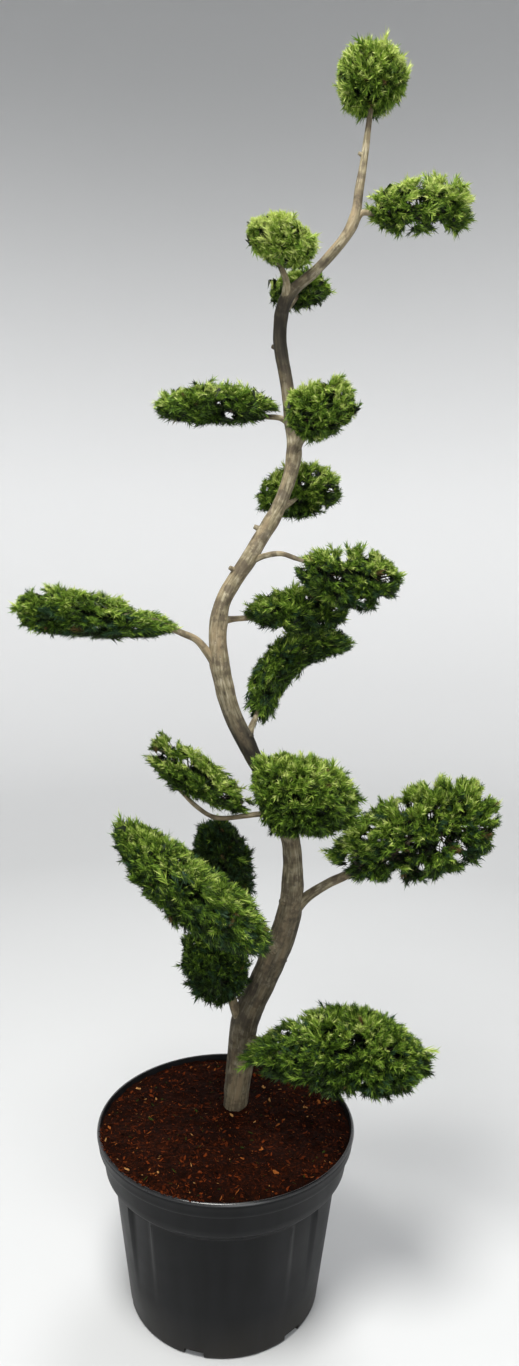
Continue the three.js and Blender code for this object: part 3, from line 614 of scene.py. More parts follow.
trunkSkin = Skin()
sides = limbSet["trunkSides"]
inSoil = int(np.searchsorted(trunkLine[:, 2], limbSet["soilLine"]))
points, grain = limbSkin(trunkLine, trunkGirth, trunkRun, sides, 0.0, list(boughLines.values()))
trunkSkin.add(points[inSoil * sides:], grain[inSoil * sides:], len(trunkLine) - inSoil, sides)
for k, (z, turnAngle, width, length) in enumerate(stubs):
    axis = trunkPoint(z)
    girth = np.interp(z, trunkLine[:, 2], trunkGirth)
    heading = math.radians(turnAngle)
    out = np.array([math.sin(heading), -math.cos(heading), 0.45])
    out /= np.linalg.norm(out)
    reach = girth / 2 + length
    run = np.linspace(0, reach, 9)
    line = axis + run[:, None] * out
    girths = np.interp(run, [0, 0.6 * reach, reach], [1.5 * width, 1.05 * width, 0.8 * width])
    points, grain = limbSkin(line, girths, run, limbSet["stubSides"], 40.0 + k)
    trunkSkin.add(points, grain, len(line), limbSet["stubSides"])

boughSkin = Skin()
for k, (name, (line, girths, run)) in enumerate(boughLines.items()):
    girths = girths * (1 + 0.35 * np.exp(-np.maximum(0, run - 12) / 14))
    points, grain = limbSkin(line, girths, run, limbSet["boughSides"], 3.0 + k)
    boughSkin.add(points, grain, len(line), limbSet["boughSides"])

barkLook = {
    "ridge": "#80765b", "tan": "#8a795d", "crack": "#362e22", "paintedShadeAndStain": "#1d180f", "pale": "#b1a890",
    "blotch": "#54493a",
    "grainAcross": 4.2,  # mm between fine fissures
    "grainAlong": 30.0,  # mm, how long each runs
    "ringGap": 19.0,  # mm between the faint rings round the trunk
    "patch": 70.0,  # mm, random patches where the bark is darker
    "blotchSize": 22.0, "blotchShare": 0.75,  # mm and strength of the darker mottles
    "roughness": 0.8,
    # how far bark is darkened by painted shade, by height in metres: darkest under the pads, where their
    # shade falls
    "shadeByHeight": [(0.33, 0.42), (0.45, 0.42), (0.55, 0.66), (0.74, 0.70), (0.86, 0.30), (0.96, 0.50), (1.01, 1.0),
             (1.12, 0.95), (1.16, 0.50), (1.24, 0.08), (1.50, 0.0), (1.70, 0.20), (1.78, 0.55), (1.84, 0.88),
             (1.93, 0.85), (1.98, 0.20), (2.10, 0.0)],
}


# Living bark of a juniper-like conifer: thin and olive grey, split in long shallow strips, paler where a
# strip has come off, with faint rings round it, random dark patches, and dark stretches of painted shade
# under the pads, set by height
def makeBark(name, shadeByHeight):
    material, tree, shader = newMaterial(name, barkLook["roughness"], 1.45)
    grain = addNode(tree, "ShaderNodeAttribute", attribute_name="grain").outputs["Vector"]
    place = addNode(tree, "ShaderNodeTexCoord").outputs["Object"]
    across, along = 1000 / barkLook["grainAcross"], 1000 / barkLook["grainAlong"]
    stretched = addNode(tree, "ShaderNodeMapping", {"Vector": grain, "Scale": (across, across, along)})
    strips = addNode(tree, "ShaderNodeTexNoise", {
        "Vector": stretched, "Scale": 1.0, "Detail": 5.0, "Roughness": 0.62, "Distortion": 0.25
    })
    broadPlace = addNode(tree, "ShaderNodeMapping", {"Vector": grain, "Scale": (60.0, 60.0, 11.0)})
    broad = addNode(tree, "ShaderNodeTexNoise", {"Vector": broadPlace, "Scale": 1.0, "Detail": 4.0})
    ringPlace = addNode(tree, "ShaderNodeMapping", {
        "Vector": grain, "Scale": (9.0, 9.0, 1000 / barkLook["ringGap"])
    })
    rings = addNode(tree, "ShaderNodeTexNoise", {"Vector": ringPlace, "Scale": 1.0, "Detail": 3.0})
    patches = addNode(tree, "ShaderNodeTexNoise", {
        "Vector": place, "Scale": 1000 / barkLook["patch"], "Detail": 3.0
    })
    mixed = addNode(tree, "ShaderNodeMath", {0: rings, 1: 0.35, 2: 0.0}, operation="MULTIPLY_ADD")
    texture = addNode(tree, "ShaderNodeMath", {0: strips, 1: 0.65, 2: mixed}, operation="MULTIPLY_ADD")
    stripColour = addNode(tree, "ShaderNodeValToRGB", {"Fac": texture})
    setRamp(stripColour, [(0.36, barkLook["crack"]), (0.50, barkLook["ridge"]), (0.64, barkLook["pale"])])
    warm = addNode(tree, "ShaderNodeMapRange", {"Value": broad, "From Min": 0.48, "From Max": 0.72})
    tanned = addNode(tree, "ShaderNodeMix", {
        0: warm, 6: stripColour, 7: toLinear(barkLook["tan"])
    }, data_type="RGBA")
    dark = addNode(tree, "ShaderNodeMapRange", {
        "Value": patches, "From Min": 0.48, "From Max": 0.72, "To Max": 0.5
    })
    spots = addNode(tree, "ShaderNodeTexNoise", {
        "Vector": place, "Scale": 1000 / barkLook["blotchSize"], "Detail": 5.0, "Roughness": 0.65
    })
    spotted = addNode(tree, "ShaderNodeMapRange", {
        "Value": spots, "From Min": 0.49, "From Max": 0.58, "To Max": barkLook["blotchShare"]
    })
    mottled = addNode(tree, "ShaderNodeMix", {
        0: spotted, 6: tanned.outputs[2], 7: toLinear(barkLook["blotch"])
    }, data_type="RGBA")
    # painted shade: a ramp on height darkens the bark under the pads, made uneven by broad noise and joined
    # by random dark patches
    height = addNode(tree, "ShaderNodeSeparateXYZ", {"Vector": place}).outputs["Z"]
    top = 2.4
    heightShare = addNode(tree, "ShaderNodeMath", {0: height, 1: 1 / top}, operation="MULTIPLY")
    paintedShadeRamp = addNode(tree, "ShaderNodeValToRGB", {"Fac": heightShare})
    setRamp(paintedShadeRamp, [(z / top, share) for z, share in shadeByHeight])
    uneven = addNode(tree, "ShaderNodeMapRange", {
        "Value": broad, "From Min": 0.3, "From Max": 0.7, "To Min": 1.25, "To Max": 0.75
    })
    paintedShade = addNode(tree, "ShaderNodeMath", {0: paintedShadeRamp, 1: uneven}, operation="MULTIPLY")
    overlayShare = addNode(tree, "ShaderNodeMath", {0: paintedShade, 1: dark}, operation="MAXIMUM")
    shadedAndStained = addNode(tree, "ShaderNodeMix", {
        0: overlayShare, 6: mottled.outputs[2], 7: toLinear(barkLook["paintedShadeAndStain"])
    }, data_type="RGBA")
    feedShader(tree, shader, shadedAndStained.outputs[2], texture, 0.8, 0.0014)
    return material


bark = makeBark("fissuredConiferBark", barkLook["shadeByHeight"])
# the boughs get painted shade by height too, darker low down
boughWood = makeBark("youngConiferBoughBark", [(0.0, 0.30), (1.0, 0.22), (1.3, 0.05), (2.4, 0.05)])
trunkBark = trunkSkin.piece("trunkBark", [bark])
boughBark = boughSkin.piece("boughBark", [boughWood])
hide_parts("trunk")
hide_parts(*("bough_" + name for name in boughLines))
for piece in (trunkBark, boughBark):
    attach(piece, "root")
print("trunk and boughs made:", len(trunkBark.data.polygons), len(boughBark.data.polygons), "faces")


# ---- foliage: stems and twigs by a seeded rule, with sprays of scale leaves at their ends

foliage = {
    "bluntness": 2.4,  # 2 is an ellipsoid, more is blunter at the ends
    "firstSeed": 11, "seedStep": 7,
    "twigSpacing": 58, "tuftSpacing": 24,  # mm between twigs, and between tufts, over a pad's surface
    "forkShare": 0.25, "twigShare": 0.66, "tuftShare": 0.80,
    "spraysInTuft": 14, "shadeInTwig": 16, "shadeReach": (0.25, 0.80),
    "sprayLength": (14, 29), "shadeLength": (24, 42),
    "tuftSpread": 1.35,  # how far sprays of one tuft reach into the next, in tuft spacings
    "reach": (0.84, 1.0), "stray": (1.04, 1.17), "strayShare": 0.07, "shootOut": (4, 13), "shootShare": 0.07,
    "lump": 0.10, "lumpSize": 46,  # how far a pad's surface swells and sinks, and over how many mm
    "holeSize": 20, "holeDepth": 700,
    "stemSides": 10, "stemTaper": (1.0, 0.8, 0.5), "stemStraight": 0.35, "leaderTip": 2.6,
    "twigTaper": (4.25, 3.4, 2.04), "tuftTaper": (1.9, 1.52, 1.045),  # mm thick at root, middle and end
    "rootSpread": 0.42,  # how far along the spine twigs are rooted
    "tuftFrom": (0.35, 0.95),  # where along a twig's outer half a tuft may start
    "upTurn": 0.12, "wayward": 0.35,
    "light": {"up": 0.20, "out": 1.4, "byChance": 0.13, "byTuft": 0.12},  # what lifts a spray's tint
    "bluishShare": 0.2, "shadeOpen": 1.5,
    "probes": (0.08, 0.42, 0.76), "shadeProbes": (0.1, 0.5, 0.9),  # where sprays are tested for openings
    "clear": 3.0,  # mm that sprays keep from trunk and boughs
    "deadShare": 0.006,
}
# Plain leaf colours from the shaded inside to the lit young tips, dealt out by spray
leafTints = ["#0a1204", "#152208", "#24360d", "#385014", "#52701e", "#739030", "#9ab04a", "#c3cf78"]
blueTint, deadTint = "#2a4429", "#5f4d2c"


def alongThree(values, t):
    start, middle, end = values
    return start * (2 * t - 1) * (t - 1) + middle * 4 * t * (1 - t) + end * t * (2 * t - 1)


def unit(vectors):
    return vectors / np.maximum(np.linalg.norm(vectors, axis=-1, keepdims=True), 1e-12)


# The space of a pad: a blunt ball stretched along a bent spine. Directions from the middle of the
# ball and shares of the way out become points of the pad, or the way out of the pad there.
class PadSpace:
    def __init__(self, pad):
        spine, self.thick, self.deep = pad
        self.start, middle, self.end = (np.array(p, float) for p in spine)
        self.control = 2 * middle - 0.5 * self.start - 0.5 * self.end
        self.half = np.linalg.norm(self.end - self.start) / 2

    def frameAt(self, t):
        t = t[:, None]
        point = (1 - t) ** 2 * self.start + 2 * t * (1 - t) * self.control + t ** 2 * self.end
        way = unit(2 * (1 - t) * (self.control - self.start) + 2 * t * (self.end - self.control))
        inward = unit(np.array([0.0, 1.0, 0.0]) - way * way[:, 1:2])
        return point, way, inward, np.cross(way, inward)

    def spread(self, directions, share):
        directions = np.atleast_2d(directions)
        share = np.broadcast_to(np.asarray(share, float), len(directions))
        x, across, up = directions.T
        t = (1 + x * np.sqrt(share)) / 2
        blunt = foliage["bluntness"]
        rounding = np.maximum(0, 1 - np.abs(x) ** blunt) ** (1 / blunt)
        ring = np.maximum(np.hypot(across, up), 1e-9)
        return t, share, rounding, across / ring, up / ring

    def place(self, directions, share):
        t, share, rounding, across, up = self.spread(directions, share)
        point, way, inward, upward = self.frameAt(t)
        sideways = (alongThree(self.deep, t) * share * rounding * across)[:, None]
        upwards = (alongThree(self.thick, t) * share * rounding * up)[:, None]
        return point + inward * sideways + upward * upwards

    def outward(self, directions):
        t, share, rounding, across, up = self.spread(directions, 1.0)
        point, way, inward, upward = self.frameAt(t)
        blunt = foliage["bluntness"] - 1
        x = np.atleast_2d(directions)[:, 0]
        deep, thick = alongThree(self.deep, t), alongThree(self.thick, t)
        radial = unit(inward * (across / deep)[:, None] + upward * (up / thick)[:, None])
        along = np.sign(x) * np.abs(x) ** blunt / self.half
        return unit(way * along[:, None] + radial * (rounding ** blunt / (0.5 * (deep + thick)))[:, None])

    def area(self):
        a, b, c = self.half, max(self.thick), max(self.deep)
        power = 1.6
        sums = (a * b) ** power + (a * c) ** power + (b * c) ** power
        return 1.12 * 4 * math.pi * (sums / 3) ** (1 / power)


def spreadDirections(count, random):
    x = 1 - 2 * (np.arange(count) + 0.5) / count
    turns = random.random() * 2 * math.pi + math.pi * (3 - math.sqrt(5)) * np.arange(count)
    turns = turns + 0.35 * (random.random(count) - 0.5)
    ring = np.sqrt(1 - x * x)
    return np.stack([x, ring * np.cos(turns), ring * np.sin(turns)], 1)


def nudged(directions, amount, random):
    return unit(directions + amount * 2 * (random.random(directions.shape) - 0.5))


# Smooth noise at points, with its features so many millimetres apart along x, y and z
def fieldAt(points, spacing, seed):
    return np.array([noise.noise(Vector(p / spacing) + Vector((seed, 0, 0))) for p in points])


# Limbs as strings of balls, to keep foliage clear of them
limbBalls = [(trunkLine[::4], trunkGirth[::4] / 2)]
limbBalls += [(line[2:], girths[2:] / 2) for line, girths, run in boughLines.values()]
ballPlaces = np.vstack([places for places, radii in limbBalls])
ballRadii = np.concatenate([radii for places, radii in limbBalls])


def clearOfLimbs(points, margin):
    low, high = points.min(0) - 60, points.max(0) + 60
    near = ((ballPlaces > low) & (ballPlaces < high)).all(1)
    if not near.any():
        return np.ones(len(points), bool)
    gaps = np.linalg.norm(points[:, None] - ballPlaces[near][None], axis=2) - ballRadii[near][None]
    return gaps.min(1) > margin


# Euler turns that lay a spray's Y along ways and its face towards faces
def turnsOf(ways, faces):
    y = unit(ways)
    z = unit(faces - y * (faces * y).sum(1, keepdims=True))
    x = np.cross(y, z)
    return np.stack([np.arctan2(y[:, 2], z[:, 2]), np.arcsin(np.clip(-x[:, 2], -1, 1)),
                     np.arctan2(x[:, 1], x[:, 0])], 1)


sprayShape = {
    "shoots": 23, "bladeWidth": 0.077, "fold": 0.25,
    "shadeShoots": 10, "shadeWidth": 0.15,
    "toneSteps": (-1, 0, 0, 1),  # how a shoot's own colour may step from its neighbours'
    "footEnds": 0.55, "tipBegins": 0.9,  # where along a spray its darker foot ends and its lighter tips begin
}


# One spray, 1 long along Y: a plume of scale-leaf shoots that stand off its axis all round. Each
# face says how far its colour steps from the spray's own: darker at the foot, lighter at the tips.
def makeSprayShape(name, seed, shoots, width):
    random = np.random.default_rng(seed)
    points, faces, steps = [], [], []

    def addBlade(root, way, length, wide, folded=False):
        way = unit(np.array(way))
        side = unit(np.cross(way, random.standard_normal(3))) * wide / 2
        root = np.array(root, float)
        tip = root + length * way
        first = len(points)
        if folded:
            middle = root + 0.4 * length * way + sprayShape["fold"] * np.cross(way, side)
            points.extend([root, middle + side, tip, middle - side])
            faces.extend([(first, first + 1, first + 2), (first, first + 2, first + 3)])
        else:
            points.extend([root - side, root + side, tip])
            faces.append((first, first + 1, first + 2))
        step = -2 if tip[1] < sprayShape["footEnds"] else 1 if tip[1] > sprayShape["tipBegins"] else 0
        step += random.choice(sprayShape["toneSteps"])
        steps.extend([step] * (len(faces) - len(steps)))

    addBlade((0, 0, 0), (0, 1, 0.04), 0.64, 0.8 * width, True)
    addBlade((0, 0.5, 0.02), (random.uniform(-0.1, 0.1), 1, -0.05), 0.5, width, True)
    for k in range(shoots):
        y = 0.04 + 0.74 * (k + random.uniform(0, 0.6)) / shoots
        spread = math.radians(random.uniform(20, 50))
        around = 2.4 * k + random.uniform(-0.4, 0.4)
        length = (0.62 - 0.36 * y) * random.uniform(0.75, 1.2)
        out = math.sin(spread)
        way = np.array((out * math.cos(around), math.cos(spread), 0.8 * out * math.sin(around)))
        addBlade((0, y, 0), way, length, width)
    mesh = bpy.data.meshes.new(name)
    mesh.from_pydata([tuple(p) for p in points], [], faces)
    mesh.attributes.new("step", "INT", "FACE").data.foreach_set("value", steps)
    mesh.update()
    return bpy.data.objects.new(name, mesh)


sprayShapes = bpy.data.collections.new("sprayShapes")
for label, count, firstSeed, shoots, width in (
    ("spray", 5, 20, sprayShape["shoots"], sprayShape["bladeWidth"]),
    ("spreadShade", 2, 40, sprayShape["shadeShoots"], sprayShape["shadeWidth"]),
):
    for seed in range(count):
        sprayShapes.objects.link(makeSprayShape(label + str(seed), firstSeed + seed, shoots, width))


def newTree(name, inputs):
    tree = bpy.data.node_groups.new(name, "GeometryNodeTree")
    tree.interface.new_socket("Geometry", in_out="INPUT", socket_type="NodeSocketGeometry")
    sockets = {}
    for label, kind in inputs.items():
        sockets[label] = tree.interface.new_socket(label, in_out="INPUT", socket_type=kind).identifier
    tree.interface.new_socket("Geometry", in_out="OUTPUT", socket_type="NodeSocketGeometry")
    return tree, addNode(tree, "NodeGroupInput").outputs, sockets


def named(tree, label, kind):
    return addNode(tree, "GeometryNodeInputNamedAttribute", {
        "Name": label
    }, data_type=kind).outputs["Attribute"]


# Puts a shape on every point, turned, sized and picked by the point's own attributes, and makes it
# real. Each face takes the material that its point was dealt, moved on by the face's own step as
# long as the point's tint is one of the first, stepped ones.
def makeScatterTree(name, materials, stepped):
    tree, given, sockets = newTree(name, {"Shapes": "NodeSocketCollection", "Size": "NodeSocketFloat"})
    shapes = addNode(tree, "GeometryNodeCollectionInfo", {
        "Collection": given["Shapes"], "Separate Children": True, "Reset Children": True
    })
    turned = addNode(tree, "FunctionNodeEulerToRotation", {0: named(tree, "turn", "FLOAT_VECTOR")})
    sized = addNode(tree, "ShaderNodeVectorMath", {
        0: named(tree, "grow", "FLOAT_VECTOR"), 3: given["Size"]
    }, operation="SCALE")
    spread = addNode(tree, "GeometryNodeInstanceOnPoints", {
        "Points": given["Geometry"], "Instance": shapes, "Pick Instance": True,
        "Instance Index": named(tree, "kind", "INT"), "Rotation": turned, "Scale": sized
    })
    flow = addNode(tree, "GeometryNodeRealizeInstances", {0: spread}).outputs[0]
    own = named(tree, "tint", "INT")
    moved = addNode(tree, "ShaderNodeMath", {0: own, 1: named(tree, "step", "INT")}, operation="ADD")
    high = addNode(tree, "ShaderNodeMath", {0: moved, 1: float(stepped - 1)}, operation="MINIMUM")
    kept = addNode(tree, "ShaderNodeMath", {0: high, 1: 0.0}, operation="MAXIMUM")
    plain = addNode(tree, "FunctionNodeCompare", {
        2: own, 3: stepped
    }, data_type="INT", operation="GREATER_EQUAL")
    dealt = addNode(tree, "GeometryNodeSwitch", {
        "Switch": plain, "False": kept, "True": own
    }, input_type="FLOAT")
    for index, material in enumerate(materials):
        isIt = addNode(tree, "FunctionNodeCompare", {
            0: dealt, 1: float(index), "Epsilon": 0.5
        }, data_type="FLOAT", operation="EQUAL")
        flow = addNode(tree, "GeometryNodeSetMaterial", {
            "Geometry": flow, "Selection": isIt, "Material": material
        }).outputs[0]
    addNode(tree, "NodeGroupOutput", {0: flow})
    return tree, sockets


# Lays a thin tube along every string of edges, as thick as its points say
def makeTwigTree(name, material):
    tree, given, sockets = newTree(name, {"Sides": "NodeSocketInt", "Girth": "NodeSocketFloat"})
    strings = addNode(tree, "GeometryNodeMeshToCurve", {"Mesh": given["Geometry"]})
    thick = addNode(tree, "ShaderNodeMath", {
        0: named(tree, "girth", "FLOAT"), 1: given["Girth"]
    }, operation="MULTIPLY")
    outline = addNode(tree, "GeometryNodeCurvePrimitiveCircle", {"Resolution": given["Sides"], "Radius": 0.5})
    tube = addNode(tree, "GeometryNodeCurveToMesh", {
        "Curve": strings, "Profile Curve": outline, "Scale": thick, "Fill Caps": True
    })
    real = addNode(tree, "GeometryNodeRealizeInstances", {0: tube})
    done = addNode(tree, "GeometryNodeSetMaterial", {"Geometry": real, "Material": material})
    addNode(tree, "NodeGroupOutput", {0: done})
    return tree, sockets


# Runs a tree on a piece once and keeps the result as a plain mesh
def grown(piece, tree, sockets, values):
    modifier = piece.modifiers.new("grow", "NODES")
    modifier.node_group = tree
    for label, value in values.items():
        modifier[sockets[label]] = value
    bpy.context.view_layer.update()
    graph = bpy.context.evaluated_depsgraph_get()
    mesh = bpy.data.meshes.new_from_object(piece.evaluated_get(graph), depsgraph=graph)
    piece.modifiers.remove(modifier)
    old = piece.data
    piece.data = mesh
    mesh.name = piece.name
    bpy.data.meshes.remove(old)
    for label in ("turn", "grow", "kind", "tint", "step", "girth"):
        if label in mesh.attributes:
            mesh.attributes.remove(mesh.attributes[label])
    return piece


def pointPiece(name, places, turns, sizes, kinds, tints):
    mesh = bpy.data.meshes.new(name)
    mesh.vertices.add(len(places))
    mesh.vertices.foreach_set("co", np.asarray(places, np.float32).ravel())
    for label, kind, key, values in (
        ("turn", "FLOAT_VECTOR", "vector", turns), ("grow", "FLOAT_VECTOR", "vector", sizes),
        ("kind", "INT", "value", kinds), ("tint", "INT", "value", tints),
    ):
        store = mesh.attributes.new(label, kind, "POINT")
        store.data.foreach_set(key, np.asarray(values, np.int32 if kind == "INT" else np.float32).ravel())
    piece = bpy.data.objects.new(name, mesh)
    scene.collection.objects.link(piece)
    return piece


# Scale leaves: a thin wax layer gives a soft sheen over plain green, each spray of one tint
def makeLeafMaterial(name, colour):
    material, tree, shader = newMaterial(name, 0.55, 1.42, 0.3)
    shader.inputs["Base Color"].default_value = toLinear(colour)
    return material


leafMaterials = [makeLeafMaterial("waxyScaleLeaf" + str(i), tint) for i, tint in enumerate(leafTints)]
leafMaterials.append(makeLeafMaterial("waxyScaleLeafBluish", blueTint))
leafMaterials.append(makeLeafMaterial("witheredScaleLeaf", deadTint))
blueIndex, deadIndex = len(leafTints), len(leafTints) + 1


# Thin young wood: red-brown, finely mottled, dull
def makeTwigMaterial():
    material, tree, shader = newMaterial("thinRedBrownTwigBark", 0.8, 1.45)
    place = addNode(tree, "ShaderNodeTexCoord").outputs["Object"]
    mottle = addNode(tree, "ShaderNodeTexNoise", {"Vector": place, "Scale": 320.0, "Detail": 3.0})
    colour = addNode(tree, "ShaderNodeValToRGB", {"Fac": mottle})
    setRamp(colour, [(0.35, "#1c150e"), (0.5, "#30261a"), (0.7, "#4b3d2e")])
    feedShader(tree, shader, colour.outputs[0], mottle, 0.4, 0.0005)
    return material


twigPoints, twigEdges, twigGirths = [], [], []
stemSkin = Skin()


def addTwig(places, girths):
    first = len(twigPoints)
    twigPoints.extend(places)
    twigGirths.extend(girths)
    twigEdges.extend((first + i, first + i + 1) for i in range(len(places) - 1))


def addStem(points, girths, seed):
    count = max(6, int(np.linalg.norm(np.diff(points, axis=0), axis=1).sum() / 5))
    line, station, run = smoothCurve(points, count)
    skin, grain = limbSkin(line, stationValue(station, girths), run, foliage["stemSides"], seed)
    stemSkin.add(skin, grain, len(line), foliage["stemSides"])


# The stem from the bough's tip into the heart of a pad, and the two leaders that run on from there
def growStem(name, branch, space, seed, random):
    middle = branch.get("heart", 0.5)
    heart = space.frameAt(np.array([middle]))[0][0]
    line, girths = boughLines[name][:2] if branch["bough"] else (trunkLine, trunkGirth)
    tip, way, girth = line[-1], unit(line[-1] - line[-3]), girths[-1]
    straight = tip + foliage["stemStraight"] * np.linalg.norm(heart - tip) * way
    addStem([tip - 2 * way, straight, heart], [girth * share for share in foliage["stemTaper"]], seed)
    for end in (0.1, 0.9):
        stops = space.frameAt(middle + (end - middle) * np.array([0.0, 0.35, 0.68, 1.0]))[0]
        stops[1:] += 4 * (random.random((3, 3)) - 0.5)
        addStem(stops, [0.45 * girth, 0.36 * girth, 0.26 * girth, foliage["leaderTip"]], seed + 0.5)


def growPad(name, branch, seed):
    random = np.random.default_rng(seed)
    space = PadSpace(branch["pad"])
    area = space.area()
    growStem(name, branch, space, seed, random)
    hole = foliage["holeSize"]
    gaps = branch.get("gaps", 0.0)
    leanX, leanZ = branch.get("lean", (0.0, 0.0))

    # High where the pad is open, in columns that run through it from front to back along its lean
    def openness(points):
        straight = points - points[:, 1:2] * np.array([leanX, 0.0, leanZ])
        return fieldAt(straight, np.array([hole, foliage["holeDepth"], hole]), seed)

    twigAims = spreadDirections(max(8, round(area / foliage["twigSpacing"] ** 2)), random)
    roots = space.frameAt((1 + foliage["rootSpread"] * twigAims[:, 0]) / 2)[0]
    forks = space.place(nudged(twigAims, 0.1, random), foliage["forkShare"])
    ends = space.place(twigAims, foliage["twigShare"])
    for root, fork, end in zip(roots, forks, ends):
        addTwig([root, fork, end], foliage["twigTaper"])

    # Tufts over the whole surface, but for the share that is left open
    count = round(area / foliage["tuftSpacing"] ** 2)
    aims = spreadDirections(count, random)
    tuftEnds = space.place(aims, foliage["tuftShare"])
    field = openness(tuftEnds)
    limit = np.quantile(field, 1 - gaps) if gaps else 9.0
    kept = (field <= limit) & clearOfLimbs(tuftEnds, 2.0)
    aims, tuftEnds = aims[kept], tuftEnds[kept]
    parents = np.linalg.norm(tuftEnds[:, None] - ends[None], axis=2).argmin(1)
    shares = random.uniform(*foliage["tuftFrom"], len(aims))[:, None]
    tuftRoots = forks[parents] * (1 - shares) + ends[parents] * shares
    for root, end in zip(tuftRoots, tuftEnds):
        bend = 0.5 * (root + end) + 5 * (random.random(3) - 0.5)
        addTwig([root, bend, end], foliage["tuftTaper"])

    # Green sprays at every tuft, with tips that stand on the lumpy surface of the pad
    ragged = branch["ragged"]
    inTuft = foliage["spraysInTuft"]
    number = np.repeat(np.arange(len(aims)), inTuft)
    spacing = math.sqrt(4 * math.pi / count)
    swell = foliage["lump"] * (0.5 + ragged) * fieldAt(tuftEnds, foliage["lumpSize"], seed + 3)
    strays = random.random(len(aims)) < foliage["strayShare"] * (0.4 + ragged)
    tuftReach = 1 + 2 * swell + np.where(strays, random.uniform(*foliage["stray"], len(aims)) - 1, 0)
    reach = tuftReach[number] * random.uniform(*foliage["reach"], len(number))
    sprayAims = nudged(aims[number], foliage["tuftSpread"] * spacing * 0.6, random)
    outward = space.outward(sprayAims)
    shoots = random.random(len(number)) < foliage["shootShare"] * (0.4 + ragged)
    shooting = shoots * random.uniform(*foliage["shootOut"], len(number))
    tips = space.place(sprayAims, reach) + shooting[:, None] * outward
    along = random.uniform(0.45, 1.0, len(number))[:, None]
    bases = tuftRoots[number] * (1 - along) + tuftEnds[number] * along
    ways = unit(tips - bases) + foliage["wayward"] * (random.random((len(number), 3)) - 0.5)
    ways[:, 2] += foliage["upTurn"]
    ways = unit(ways)
    lengths = np.clip(np.linalg.norm(tips - bases, axis=1), *foliage["sprayLength"]) + 0.7 * shooting
    lengths = lengths * random.uniform(0.85, 1.15, len(number))
    bases = tips - ways * lengths[:, None]
    solid = np.ones(len(number), bool)
    if gaps:
        for share in foliage["probes"]:
            solid &= openness(tips - share * lengths[:, None] * ways) <= limit
    depth = reach / tuftReach[number] - foliage["reach"][0]
    gain = foliage["light"]
    light = branch["leaf"] + gain["up"] * outward[:, 2] + gain["out"] * (depth - 0.08)
    light = light + gain["byChance"] * random.standard_normal(len(number))
    light = light + gain["byTuft"] * (random.random(len(aims)) - 0.5)[number]
    tint = np.clip((light * len(leafTints)).astype(int), 1, len(leafTints) - 1)
    bluish = (random.random(len(number)) < foliage["bluishShare"]) & (tint < 4) & (branch["leaf"] < 0.45)
    tint = np.where(bluish, blueIndex, tint)
    tint = np.where(random.random(len(number)) < foliage["deadShare"], deadIndex, tint)
    kinds = random.integers(0, 5, len(number))

    # Sprays in the two darkest tints along the twigs fill the inside as painted shade, thinner round the
    # holes
    shadeAims = spreadDirections(foliage["shadeInTwig"] * len(ends), random)
    shadeTips = space.place(shadeAims, random.uniform(*foliage["shadeReach"], len(shadeAims)))
    owner = np.linalg.norm(shadeTips[:, None] - ends[None], axis=2).argmin(1)
    along = random.uniform(0.05, 1.0, len(owner))[:, None]
    shadeWays = unit(unit(shadeTips - forks[owner] * (1 - along) - ends[owner] * along)
                     + 0.4 * random.standard_normal((len(owner), 3)))
    shadeOutward = space.outward(shadeAims)  # a spray that would point back in is turned outward
    inward = np.minimum((shadeWays * shadeOutward).sum(1), 0)[:, None]
    shadeWays = shadeWays - 2 * inward * shadeOutward
    shadeLengths = random.uniform(*foliage["shadeLength"], len(owner))
    shadeBases = shadeTips - shadeLengths[:, None] * shadeWays
    filled = random.random(len(owner)) > foliage["shadeOpen"] * gaps
    if gaps:
        for share in foliage["shadeProbes"]:
            filled &= openness(shadeBases * (1 - share) + shadeTips * share) <= limit
    shadeTint = random.integers(0, 2, len(owner))

    bases = np.vstack([bases, shadeBases[filled]])
    ways = np.vstack([ways, shadeWays[filled]])
    lengths = np.concatenate([lengths, shadeLengths[filled]])
    tint = np.concatenate([tint, shadeTint[filled]])
    kinds = np.concatenate([kinds, random.integers(5, 7, int(filled.sum()))])
    tips = bases + ways * lengths[:, None]
    solid = np.concatenate([solid, np.ones(int(filled.sum()), bool)])
    free = solid & clearOfLimbs(tips, foliage["clear"])
    free &= clearOfLimbs(bases, 0.5) & clearOfLimbs((tips + bases) / 2, 1.5)
    turns = turnsOf(ways, random.standard_normal((len(ways), 3)))
    widths = lengths * random.uniform(0.85, 1.15, len(lengths))
    sizes = np.stack([widths, lengths, widths], 1)
    dealt = [values[free] for values in (bases * mm, turns, sizes, kinds, tint)]
    piece = pointPiece("sprays_" + name, *dealt)
    grown(piece, sprayTree, spraySockets, {"Shapes": sprayShapes, "Size": mm})
    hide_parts("foliage_" + name)
    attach(piece, "root")
    return len(piece.data.polygons)


sprayTree, spraySockets = makeScatterTree("growSprays", leafMaterials, len(leafTints))
counts = {}
for index, (name, branch) in enumerate(branches.items()):
    counts[name] = growPad(name, branch, foliage["firstSeed"] + foliage["seedStep"] * index)
print("foliage triangles:", sum(counts.values()), "most in a piece:", max(counts.values()))

twigBark = makeTwigMaterial()
twigMesh = bpy.data.meshes.new("twigs")
twigMesh.from_pydata([tuple(p * mm) for p in twigPoints], twigEdges, [])
store = twigMesh.attributes.new("girth", "FLOAT", "POINT")
store.data.foreach_set("value", np.array(twigGirths, np.float32) * mm)
twigs = bpy.data.objects.new("twigs", twigMesh)
scene.collection.objects.link(twigs)
twigTree, twigSockets = makeTwigTree("growTwigs", twigBark)
grown(twigs, twigTree, twigSockets, {"Sides": 4, "Girth": 1.0})
stemBark = stemSkin.piece("stemBark", [boughWood])
for piece in (twigs, stemBark):
    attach(piece, "root")
print("twigs and stems made:", len(twigs.data.polygons), len(stemBark.data.polygons), "faces")


# ---- compost

